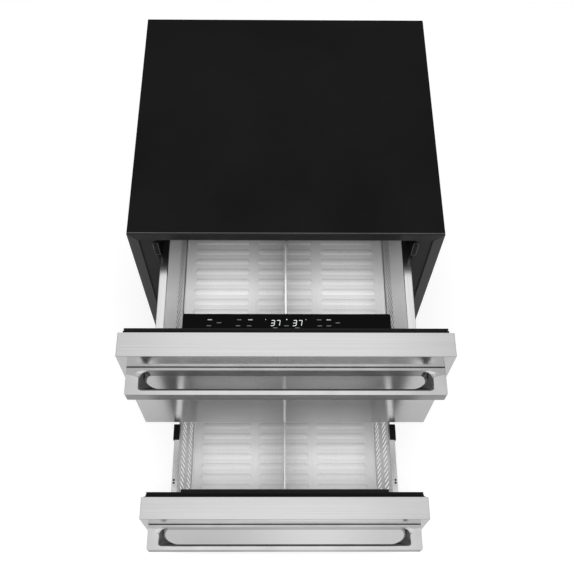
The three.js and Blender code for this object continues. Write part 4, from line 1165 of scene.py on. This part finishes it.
fittingLook = {
    "backHead": (3.6 * mm, 1.5 * mm),      # a screw head: radius, rise
    "backInset": 9 * mm, "backColumns": 5, "backRows": 7,
    "clip": (246.9 * mm, 256.9 * mm), "clipZ": (794 * mm, 838 * mm), "clipDepth": 2.9 * mm,
    "clipBar": (2.6 * mm, 5 * mm),         # bare plate beside the bar, and over and under it
    "clipWire": 0.6 * mm,
    "stud": (59 * mm, 67 * mm), "studDrop": 15 * mm, "studRadius": 2.4 * mm,
    "studLength": 16 * mm, "studHead": 2.2 * mm, "studOut": 0.4 * mm,
    "stop": (119 * mm, 155 * mm), "stopDrop": 12 * mm, "stopReach": 2.4 * mm,
    "stopRise": 0.8 * mm, "stopEdge": 1.2 * mm,
    "flangeScrew": (24.5 * mm, 30.8 * mm), "flangeScrewInset": 4.4 * mm,
    "flangeHead": (2.3 * mm, 0.8 * mm),
}


def screwHead(size):
    # a pan head with a cross recess, standing along Z
    r, h = size
    head = lathed([(r, -h * 0.3), (r, h * 0.25), (r * 0.9, h * 0.62), (r * 0.66, h * 0.88),
                   (r * 0.3, h)], 20, screwSteel)
    for turn in (0, 90):
        bar = blockMesh("bar", (-r * 0.6, -r * 0.12, h * 0.45), (r * 0.6, r * 0.12, h * 2),
                        screwSteel)
        bar.data.transform(Matrix.Rotation(math.radians(turn), 4, "Z"))
        recess = head.modifiers.new("cross", "BOOLEAN")
        recess.operation = "DIFFERENCE"
        recess.solver = "EXACT"
        recess.object = bar
        baked(head)
        bpy.data.objects.remove(bar)
    return head


screwing = repeatTree("screwRows", screwSteel)


def screwRow(name, body, slotName, head, grid, start):
    # grid is the count and the step of the columns, then of the rows
    columns, columnStep, rows, rowStep = grid
    made = grown(name, head, screwing, {
        "Columns": columns, "Rows": rows, "Column Step": columnStep, "Row Step": rowStep,
        "Start": start}, screwBlack if slotName == "black_steel" else screwSteel)
    smoothBy(made, 35)
    return asPiece(made, body, slotName)


def backScrews():
    look = fittingLook
    low, high = corners("back_panel")
    inset = look["backInset"]
    columns, rows = look["backColumns"], look["backRows"]
    wide = high.x - low.x - 2 * inset
    tall = high.z - low.z - 2 * inset
    across, up = wide / (columns - 1), tall / (rows - 1)
    for title, grid, x in (
        ("backScrewsSides", (2, (wide, 0, 0), rows, (0, 0, up)), low.x + inset),
        ("backScrewsEnds", (columns - 2, (across, 0, 0), 2, (0, 0, tall)),
         low.x + inset + across),
    ):
        head = screwHead(look["backHead"])
        head.data.transform(Matrix.Rotation(math.radians(-90), 4, "X"))
        screwRow(title, "cabinet", "zinc_steel", head, grid, (x, high.y, low.z + inset))


def cornerClips():
    # a nylon plate with a raised bar, in a bright wire edge
    look = fittingLook
    liner = corners("upper_liner")[0].y
    depth, wire = look["clipDepth"], look["clipWire"]
    aside, along = look["clipBar"]
    lowZ, highZ = look["clipZ"]
    for side, label in sides:
        lowX, highX = sorted(side * x for x in look["clip"])
        plate = blockMesh("plate", (lowX, liner - depth * 0.62, lowZ), (highX, liner, highZ),
                          clipNylon)
        bar = blockMesh("bar", (lowX + aside, liner - depth, lowZ + along),
                        (highX - aside, liner - 1 * mm, highZ - along), clipNylon)
        edges = [blockMesh("edge", (x0, liner - depth * 0.8, z0), (x1, liner - 0.4 * mm, z1),
                           screwSteel)
                 for x0, z0, x1, z1 in ((lowX, lowZ, lowX + wire, highZ),
                                        (highX - wire, lowZ, highX, highZ),
                                        (lowX, highZ - wire, highX, highZ),
                                        (lowX, lowZ, highX, lowZ + wire))]
        title = label.capitalize()
        whole = joined(f"openingClip{title}", [softEdges(plate, 0.5 * mm),
                                               softEdges(bar, 0.7 * mm)])
        asPiece(smoothBy(whole, 40), "cabinet", "fan_plastic")
        rim = joined(f"openingClipEdge{title}", edges)
        asPiece(smoothBy(rim, 40), "cabinet", "zinc_steel")


def flangeStuds(side, label):
    look = fittingLook
    low, high = corners(f"upper_bin_{label}_side")
    outer = high.x if side > 0 else low.x
    r, long = look["studRadius"], look["studLength"]
    neck = long - look["studHead"]
    studs = []
    for back in look["stud"]:
        stud = lathed([(r * 0.6, 0), (r * 0.6, neck), (r, neck), (r, long - 1 * mm),
                       (r * 0.75, long - 0.3 * mm), (r * 0.3, long)], 16, screwSteel, "x")
        place = (outer + side * (look["studOut"] - long), low.y + back,
                 high.z - look["studDrop"])
        stud.data.transform(Matrix.Translation(place) @ Matrix.Diagonal((side, 1, 1, 1)))
        fixNormals(stud.data)
        studs.append(stud)
    whole = joined(f"upperFlangeStuds{label.capitalize()}", studs)
    asPiece(smoothBy(whole, 40), "upper_drawer", "bin_steel")


def flangeStop(side, label):
    look = fittingLook
    low, high = corners(f"lower_bin_{label}_side")
    outer = high.x if side > 0 else low.x
    inner = corners("lower_bin_floor")[1].x + fitGap + binLook["lean"] + binLook["bend"]
    lowX, highX = sorted((outer + side * look["stopReach"], side * inner))
    stop = blockMesh("stop", (lowX, low.y + look["stop"][0], high.z - look["stopDrop"]),
                     (highX, low.y + look["stop"][1], high.z + look["stopRise"]), clipNylon)
    softEdges(stop, look["stopEdge"])
    whole = joined(f"lowerFlangeStop{label.capitalize()}", [smoothBy(stop, 40)])
    asPiece(whole, "lower_drawer", "fan_plastic")


def flangeScrews(side, label):
    look = fittingLook
    low, high = corners(f"lower_bin_{label}_side")
    outer = high.x if side > 0 else low.x
    first, second = look["flangeScrew"]
    screwRow(f"lowerFlangeScrews{label.capitalize()}", "lower_drawer", "black_steel",
             screwHead(look["flangeHead"]), (1, (0, 0, 0), 2, (0, second - first, 0)),
             (outer - side * look["flangeScrewInset"], low.y + first, high.z))


backScrews()
cornerClips()
for side, label in sides:
    flangeStuds(side, label)
    flangeStop(side, label)
    flangeScrews(side, label)
print("fittings placed")


# Levelling legs: a moulded pad, a lock nut and a threaded stem

legLook = {
    "pitch": 1.5 * mm, "thread": 0.55 * mm, "sides": 24, "stem": 4.9 * mm, "stemFoot": 9 * mm,
    "flank": 0.1 * mm, "crest": (0.45, 0.6),         # the crest's ends are shares of the pitch
    "nut": (8.6 * mm, 1.9 * mm), "nutRise": 9.7 * mm, "nutEdge": 0.5 * mm, "nutTop": 0.9,
    # the pad from the floor up: in from its edge, height
    "pad": ((2.2, 0), (0.9, 0.4), (0, 1.6), (0, 4.2), (0.8, 5.4), (4, 6.6)),
    "collar": ((9.2, 9.2), (8.4, 10), (5, 10)),      # radius, height
    # ribs between collar and pad: from, to, foot, top, half their thickness
    "ribs": 12, "rib": (8 * mm, 2 * mm, 5 * mm, 7.2 * mm, 0.8 * mm),
}


def levellingLeg(place):
    look = legLook
    low, high = corners(f"{place}_leg")
    centre = (low + high) / 2
    radius = (high.x - low.x) / 2
    pad = lathed([(radius - inset * mm, z * mm) for inset, z in look["pad"]]
                 + [(r * mm, z * mm) for r, z in look["collar"]], 40, footPlastic)
    start, short, ribFoot, ribTop, half = look["rib"]
    ribs = []
    for k in range(look["ribs"]):
        rib = blockMesh("rib", (start, -half, ribFoot), (radius - short, half, ribTop),
                        footPlastic)
        rib.data.transform(Matrix.Rotation(math.tau * k / look["ribs"], 4, "Z"))
        ribs.append(rib)
    foot = joined("foot", [pad] + ribs)
    crest, cut, bottom, pitch = look["stem"], look["thread"], look["stemFoot"], look["pitch"]
    turns = int((high.z - bottom - 1 * mm) / pitch)
    profile = [(crest - cut, bottom)]
    for k in range(turns):
        z = bottom + k * pitch
        profile.append((crest - cut, z + look["flank"]))
        profile += [(crest, z + pitch * share) for share in look["crest"]]
    profile += [(crest - cut, bottom + turns * pitch), (crest - 2 * cut, high.z)]
    stem = lathed(profile, look["sides"], screwSteel)
    (flat, thick), under, edge = look["nut"], look["nutRise"], look["nutEdge"]
    top = flat * look["nutTop"]
    nut = lathed([(top, under), (flat, under + edge), (flat, under + thick - edge),
                  (top, under + thick)], 6, screwSteel)
    for part, label, slotName, angle in ((foot, "Pad", "foot_rubber", 40),
                                         (stem, "Stem", "zinc_steel", 60),
                                         (nut, "Nut", "zinc_steel", 30)):
        part.data.transform(Matrix.Translation((centre.x, centre.y, 0)))
        part.name = camel(place) + label
        smoothBy(part, angle)
        asPiece(part, f"{place}_foot", slotName, *([f"{place}_leg"] if part == foot else []))


for place in ("front_left", "front_right", "rear_left", "rear_right"):
    levellingLeg(place)
print("legs threaded")


# Cooling circuit: compressor, two finned coils, fan guard and fans

coolingLook = {
    # compressor: can, welded seam with its band, base plate on rubber feet, box, pipes
    "squash": 0.84, "can": 76 * mm, "wall": 73 * mm, "seam": 54 * mm, "height": 104 * mm,
    "band": 3 * mm, "bandEdge": 0.6 * mm, "sides": 64, "domeSteps": 12, "pole": 0.4 * mm,
    "plate": 3 * mm, "plateHalf": (80 * mm, 55 * mm), "plateCorner": 10 * mm,
    "grommet": (8 * mm, 8 * mm), "grommetPlace": (68 * mm, 43 * mm),
    "box": (40 * mm, 40 * mm, 22 * mm, 46 * mm), "lid": (0.6 * mm, 2 * mm, 5 * mm),
    "pipe": (20 * mm, 62 * mm, 4 * mm),
    # a pipe end along its length, each as (share of the radius, reach)
    "pipeEnd": ((1, 40), (1, 84), (1.25, 84.4), (1.25, 86), (1, 86.4), (1, 88.4), (0.8, 89)),
    # coils: fins between end sheets, and a tube to and fro
    "finPitch": 4.2 * mm, "fin": 0.35 * mm, "finShort": (2.7 * mm, 0.3 * mm),
    "tube": 3.4 * mm, "endSheet": 2.2 * mm, "overhang": 9 * mm, "tubeInset": 6 * mm,
    "runs": 4, "bendSteps": 8,
}


def compressorCan():
    look = coolingLook
    low, high = corners("compressor")
    halfX, halfY = look["plateHalf"]
    wall, seam, band, can = look["wall"], look["seam"], look["band"], look["can"]
    lower, upper = [], []
    for k in range(look["domeSteps"] + 1):
        angle = math.pi / 2 * k / look["domeSteps"]
        radius = max(wall * math.sqrt(math.sin(angle)), look["pole"])
        rise = 1 - math.sqrt(math.cos(angle))
        lower.append((radius, seam * rise))
        upper.append((radius, look["height"] - (look["height"] - seam) * rise))
    eased = can - look["bandEdge"]
    profile = lower[:-1] + [
        (wall, seam - band), (eased, seam - band), (can, seam - band * 0.6),
        (can, seam + band * 0.6), (eased, seam + band), (wall, seam + band),
    ] + upper[-2::-1]
    shell = lathed(profile, look["sides"], compressorEnamel)
    shell.data.transform(Matrix.Diagonal((1, look["squash"], 1, 1)))
    plate = blockMesh("plate", (-halfX, -halfY, 0), (halfX, halfY, look["plate"]),
                      compressorEnamel)
    shape = bmesh.new()
    shape.from_mesh(plate.data)
    upright = [e for e in shape.edges
               if abs(e.verts[0].co.z - e.verts[1].co.z) > look["plate"] * 0.5]
    bmesh.ops.bevel(shape, geom=upright, offset=look["plateCorner"], segments=6, profile=0.5,
                    affect="EDGES")
    shape.to_mesh(plate.data)
    shape.free()
    softEdges(plate, 0.5 * mm)
    parts = [shell, plate]
    h, r = look["grommet"]
    x, y = look["grommetPlace"]
    for i, j in ((-1, -1), (1, -1), (-1, 1), (1, 1)):
        grommet = lathed([(r * 0.7, -h), (r, -h * 0.7), (r, -h * 0.2), (r * 0.72, 0),
                          (r * 0.72, look["plate"]), (r, look["plate"] + h * 0.15),
                          (r, h * 0.8), (r * 0.55, h)], 24, footPlastic)
        grommet.data.transform(Matrix.Translation((i * x, j * y, 0)))
        parts.append(grommet)
    deep, wide, rise, tall = look["box"]
    out, sunk, inset = look["lid"]
    box = blockMesh("box", (-halfX, -wide / 2, rise), (deep - halfX, wide / 2, rise + tall),
                    fanPlastic)
    lid = blockMesh("lid", (-halfX - out, inset - wide / 2, rise + inset),
                    (sunk - halfX, wide / 2 - inset, rise + tall - inset), fanPlastic)
    parts += [softEdges(box, 3 * mm, 4), softEdges(lid, 0.5 * mm)]
    centre = Vector((low.x + halfX, (low.y + high.y) / 2, low.z + h))
    whole = joined("compressorCan", parts)
    whole.data.transform(Matrix.Translation(centre))
    smoothBy(whole, 35)
    asPiece(whole, "cabinet", "compressor_black", "compressor")
    spread, pipeRise, r = look["pipe"]
    pipes = []
    for side, label in sides:
        pipe = lathed([(r * share, reach * mm) for share, reach in look["pipeEnd"]], 20,
                      copperTube, "x")
        pipe.data.transform(Matrix.Translation(centre + Vector((0, side * spread, pipeRise))))
        pipes.append(pipe)
    asPiece(smoothBy(joined("compressorPipes", pipes), 40), "cabinet", "coil_metal")


finning = repeatTree("finRows", coilAluminium)
tubing = followTree("serpentine", copperTube)


def serpentine(name, low, high):
    # straight runs at even heights joined by half-round bends past the end plates
    look = coolingLook
    rise = (high.z - low.z) / look["runs"]
    bend = rise / 2
    points = []
    for i in range(look["runs"]):
        z = low.z + rise * (i + 0.5)
        ends = [(low.x + bend, z), (high.x - bend, z)]
        side = -1 if i % 2 else 1
        points += ends[::side]
        if i < look["runs"] - 1:
            turn = arc(0, z + bend, bend, -90, 180, look["bendSteps"])[1:-1]
            points += [(ends[::side][1][0] + side * x, up) for x, up in turn]
    y = (low.y + high.y) / 2
    mesh = bpy.data.meshes.new(name)
    mesh.from_pydata([(x, y, z) for x, z in points],
                     [(i, i + 1) for i in range(len(points) - 1)], [])
    path = placeInScene(name, mesh, copperTube)
    tube = grown(name, path, tubing, {"Radius": look["tube"], "Sides": 14}, copperTube)
    fixNormals(tube.data)
    return smoothBy(tube, 60)


def finnedCoil(nodeName, backPlates):
    look = coolingLook
    sheet = look["endSheet"]
    low, high = corners(nodeName)
    overhang = look["overhang"] - sheet / 2
    inner = Vector((low.x + overhang, low.y, low.z))
    outer = Vector((high.x - overhang, high.y - backPlates, high.z))
    span = outer.x - inner.x - 2 * sheet
    count = int(span / look["finPitch"])
    step = span / (count + 1)
    half = look["fin"] / 2
    under, over = look["finShort"]
    fin = blockMesh("fin", (-half, 0, 0),
                    (half, outer.y - inner.y, outer.z - inner.z - under - over), coilAluminium)
    fins = grown("fins", fin, finning, {
        "Columns": count, "Rows": 1, "Column Step": (step, 0, 0), "Row Step": (0, 0, 0),
        "Start": (inner.x + sheet + step, inner.y, inner.z + under)}, coilAluminium)
    plates = []
    for x in (inner.x, outer.x - sheet):
        plate = blockMesh("plate", (x, inner.y, low.z), (x + sheet, high.y, high.z), galvanised)
        plates.append(softEdges(plate, 0.5 * mm))
    name = camel(nodeName)
    asPiece(smoothBy(joined(f"{name}Fins", [fins] + plates), 35), "cabinet", "coil_metal",
            nodeName)
    inset = look["tubeInset"]
    tubes = serpentine(f"{name}Tube", Vector((low.x, inner.y, low.z + inset)),
                       Vector((high.x, outer.y, high.z - inset)))
    asPiece(tubes, "cabinet", "coil_metal")


compressorCan()
finnedCoil("condenser", 0)
finnedCoil("evaporator", 17 * mm)
print("compressor and coils built")


fanLook = {
    "blades": 5, "radius": 45.6 * mm, "hub": 15 * mm, "depth": 14 * mm, "sheet": 1.5 * mm,
    "bore": 3.3 * mm, "rows": 6, "columns": 8,
    "root": 0.8,               # where a blade starts inside the hub, as a share of its radius
    "cover": 0.74,             # share of the circle that the blades cover
    "pitch": 0.5, "rootPitch": 1.12, "twist": 0.3, "flatten": 0.62,
    "sweep": 0.16, "camber": 1.1 * mm, "thinning": 0.3,
    "motor": {"condenser_fan_blade": (-125 * mm, 75.8 * mm),       # centre across and up
              "evaporator_fan_blade": (0, 783 * mm)},
    "rings": (18 * mm, 27 * mm, 36 * mm, 45 * mm), "wire": 0.7 * mm,
    "spokes": 4, "spoke": 49.4 * mm, "guardEdge": 0.4 * mm,
}

blading = spinTree("bladeRound", fanPlastic)


def bladeVane():
    # one blade between its upper and lower skins: pitched less towards its tip, cambered,
    # swept forward and thinned to its edges
    look = fanLook
    rows, columns = look["rows"], look["columns"]
    root = look["hub"] * look["root"]
    span = math.pi / look["blades"] * look["cover"]
    most = look["depth"] / 2 - look["sheet"]
    upper, lower = [], []
    for i in range(rows + 1):
        radius = root + (look["radius"] - root) * i / rows
        pitch = look["pitch"] * (look["rootPitch"] - look["twist"] * i / rows)
        swept = look["sweep"] * (i / rows) ** 2
        for k in range(columns + 1):
            share = k / columns * 2 - 1
            angle = share * span + swept
            camber = look["camber"] * (1 - share * share)
            y = -share * span * radius * math.tan(pitch) * look["flatten"] + camber
            y = max(-most, min(most, y))
            thin = look["sheet"] * (0.5 - look["thinning"] * abs(share) ** 3)
            for side, skin in ((1, upper), (-1, lower)):
                skin.append((radius * math.cos(angle), y + side * thin,
                             radius * math.sin(angle)))
    across = columns + 1
    shift = len(upper)
    faces = []
    for i in range(rows):
        for k in range(columns):
            a = i * across + k
            quad = (a, a + 1, a + across + 1, a + across)
            faces += [quad, tuple(shift + v for v in quad[::-1])]
    rim = [*range(across), *(i * across + columns for i in range(1, rows + 1)),
           *(rows * across + k for k in range(columns - 1, -1, -1)),
           *(i * across for i in range(rows - 1, 0, -1))]
    for a, b in zip(rim, rim[1:] + rim[:1]):
        faces.append((a, b, b + shift, a + shift))
    vane = fromFaces("vane", upper + lower, faces, fanPlastic)
    fixNormals(vane.data)
    return vane


def fanWheel(nodeName):
    look = fanLook
    low, high = corners(nodeName)
    x, z = look["motor"][nodeName]
    centre = Vector((x, (low.y + high.y) / 2, z))
    vanes = grown("vanes", bladeVane(), blading, {"Count": look["blades"],
                                                  "Centre": tuple(centre)}, fanPlastic)
    h, r = look["depth"] / 2, look["hub"]
    hub = lathed([(look["bore"], -h), (r - 1.5 * mm, -h), (r, -h + 1.5 * mm), (r, h - 0.5 * mm),
                  (r - 0.5 * mm, h), (look["bore"], h)], 40, fanPlastic, "y")
    # the hub's two end caps open into its bore
    closing = bmesh.new()
    closing.from_mesh(hub.data)
    caps = [f for f in closing.faces if len(f.verts) > 8]
    bmesh.ops.delete(closing, geom=caps, context="FACES_ONLY")
    rims = [e for e in closing.edges if e.is_boundary]
    bmesh.ops.bridge_loops(closing, edges=rims)
    bmesh.ops.recalc_face_normals(closing, faces=closing.faces)
    closing.to_mesh(hub.data)
    closing.free()
    hub.data.transform(Matrix.Translation(centre))
    wheel = joined(f"{camel(nodeName)}Wheel", [vanes, hub])
    smoothBy(wheel, 35)
    return asPiece(wheel, bodyOf(nodeName), "fan_plastic", nodeName)


def wireGuard():
    # rings and spokes of wire across the fan opening, ahead of the blades
    look = fanLook
    low, high = corners("condenser_fan_guard")
    wire = look["wire"]
    x, y, z = (low.x + high.x) / 2, low.y + wire, (low.z + high.z) / 2
    parts = []
    for radius in look["rings"]:
        loops = []
        for k in range(48):
            angle = math.tau * k / 48
            loops.append([(x + out * math.cos(angle), y + up, z + out * math.sin(angle))
                          for out, up in arc(radius, 0, wire, 0, 315, 7)])
        parts.append(rods("ring", loops, True, screwSteel))
    for k in range(look["spokes"]):
        spoke = lathed([(wire * 0.9, -look["spoke"]), (wire * 0.9, look["spoke"])], 8,
                       screwSteel, "x")
        turn = Matrix.Rotation(math.pi * (k + 0.5) / look["spokes"], 4, "Y")
        spoke.data.transform(Matrix.Translation((x, y, z)) @ turn)
        parts.append(spoke)
    asPiece(smoothBy(joined("condenserWireGuard", parts), 40), "cabinet", "coil_metal")


dressed("condenser_fan_guard", fanPlastic, fanLook["guardEdge"], 2, 45)
for name in fanLook["motor"]:
    fanWheel(name)
wireGuard()
print("fans fitted")


# Power inlet: a moulded socket with three metal blades

inletLook = {
    "pin": (2.2 * mm, 4.7 * mm, 15.2 * mm), "pinFoot": 0.5 * mm, "pinEdge": 0.4 * mm,
    "pitch": 7 * mm, "earth": 3 * mm, "recess": 17 * mm, "edge": 0.4 * mm,
}


def powerInlet():
    look = inletLook
    low, high = corners("power_inlet")
    dressed("power_inlet", fanPlastic, look["edge"], 3, 45)
    centre = (low + high) / 2
    floor = high.y - look["recess"]
    wide, tall, reach = look["pin"]
    pins = []
    for i, j in ((-1, 0), (0, 1), (1, 0)):
        x, z = centre.x + i * look["pitch"], centre.z + j * look["earth"]
        pin = blockMesh("pin", (x - wide / 2, floor - look["pinFoot"], z - tall / 2),
                        (x + wide / 2, floor + reach, z + tall / 2), screwSteel)
        pins.append(softEdges(pin, look["pinEdge"]))
    asPiece(smoothBy(joined("inletPins", pins), 40), "cabinet", "zinc_steel")


powerInlet()
print("inlet fitted")


# Light, background and floor

lightLook = {
    "world": 0.36,             # light on plain surfaces from all round
    "low": 0.22,               # what metal sees of the room below the softboxes
    "rise": (0.12, 0.5),       # how steeply up the room turns from low to full
    "edges": 0.7,              # what is left of the room's light far to the sides
    "aside": (0.1, 0.22),      # how far aside that begins and ends
    "floor": 0.62,             # the floor's own light, for the camera
    "mirroredFloor": 0.15,     # and for metal
    "pool": 0.24,              # extra light that metal sees on the floor
    "poolMiddle": 0.085, "poolReach": 0.175,
    "table": (1.6, 1.5),
    # lamps: place, aim, size, power
    "overhead": ((0, -1.0, 3.25), (0, -0.35, 0.45), (2.0, 1.4), 80.0),
    "behind": ((0, 0.9, 3.0), (0, 0, 0.6), (2.4, 1.6), 14.0),
}


def studioRoom():
    look = lightLook
    world = bpy.data.worlds.new("studio")
    scene.world = world
    world.use_nodes = True
    world.node_tree.nodes.clear()
    sky = Wiring(world.node_tree)
    rays = sky.add("ShaderNodeLightPath").outputs
    plainWhite = sky.math("MAXIMUM", rays["Is Camera Ray"], rays["Is Transmission Ray"])
    direction = sky.add("ShaderNodeTexCoord").outputs["Generated"]
    toward = sky.add("ShaderNodeSeparateXYZ", {0: direction}).outputs
    above = remap(sky, toward["Z"], look["low"], 1.0, *look["rise"])
    aside = sky.math("ABSOLUTE", toward["X"])
    middle = remap(sky, aside, 1.0, look["edges"], *look["aside"])
    room = sky.math("MULTIPLY", above, middle)
    seen = sky.add("ShaderNodeMix", {"Factor": rays["Is Glossy Ray"], "A": look["world"],
                                     "B": room}).outputs[0]
    strength = sky.add("ShaderNodeMix", {"Factor": plainWhite, "A": seen, "B": 1.0}).outputs[0]
    backdrop = sky.add("ShaderNodeBackground", {"Color": (1, 1, 1, 1), "Strength": strength})
    sky.add("ShaderNodeOutputWorld", {"Surface": backdrop.outputs[0]})


def softBox(name):
    place, aim, size, power = lightLook[name]
    lamp = bpy.data.lights.new(name, "AREA")
    lamp.shape = "RECTANGLE"
    lamp.size, lamp.size_y = size
    lamp.energy = power
    holder = bpy.data.objects.new(name, lamp)
    scene.collection.objects.link(holder)
    holder.location = place
    holder.visible_glossy = False     # metal sees the plain white room, not the lamps
    holder.rotation_euler = (Vector(aim) - Vector(place)).to_track_quat("-Z", "Y").to_euler()


def paperFloor():
    # white to the camera; metal sees it dim, with a pool of light near the middle
    look = lightLook
    paper, wires, shader = startMaterial("floorPaper", 0xbc, 0.9)
    rays = wires.add("ShaderNodeLightPath").outputs
    seen = wires.math("MULTIPLY", rays["Is Camera Ray"], look["floor"])
    spot = wires.add("ShaderNodeTexCoord").outputs["Object"]
    across = wires.add("ShaderNodeSeparateXYZ", {0: spot}).outputs["X"]
    aside = wires.math("SUBTRACT", across, look["poolMiddle"])
    share = wires.math("DIVIDE", aside, look["poolReach"])
    fall = wires.math("MULTIPLY", wires.math("MULTIPLY", share, share), -1.0)
    hill = wires.math("EXPONENT", fall)
    pool = wires.math("MULTIPLY_ADD", hill, look["pool"], look["mirroredFloor"])
    link(wires, wires.math("MULTIPLY_ADD", rays["Is Glossy Ray"], pool, seen), shader,
         "Emission Strength")
    shader.inputs["Emission Color"].default_value = (1, 1, 1, 1)
    x, y = look["table"]
    ground = fromFaces("floorPlane", [(-x, -y, 0), (x, -y, 0), (x, y, 0), (-x, y, 0)],
                       [(0, 1, 2, 3)], paper)


studioRoom()
softBox("overhead")
softBox("behind")
paperFloor()
scene.view_settings.view_transform = "Standard"
print("light and floor set")
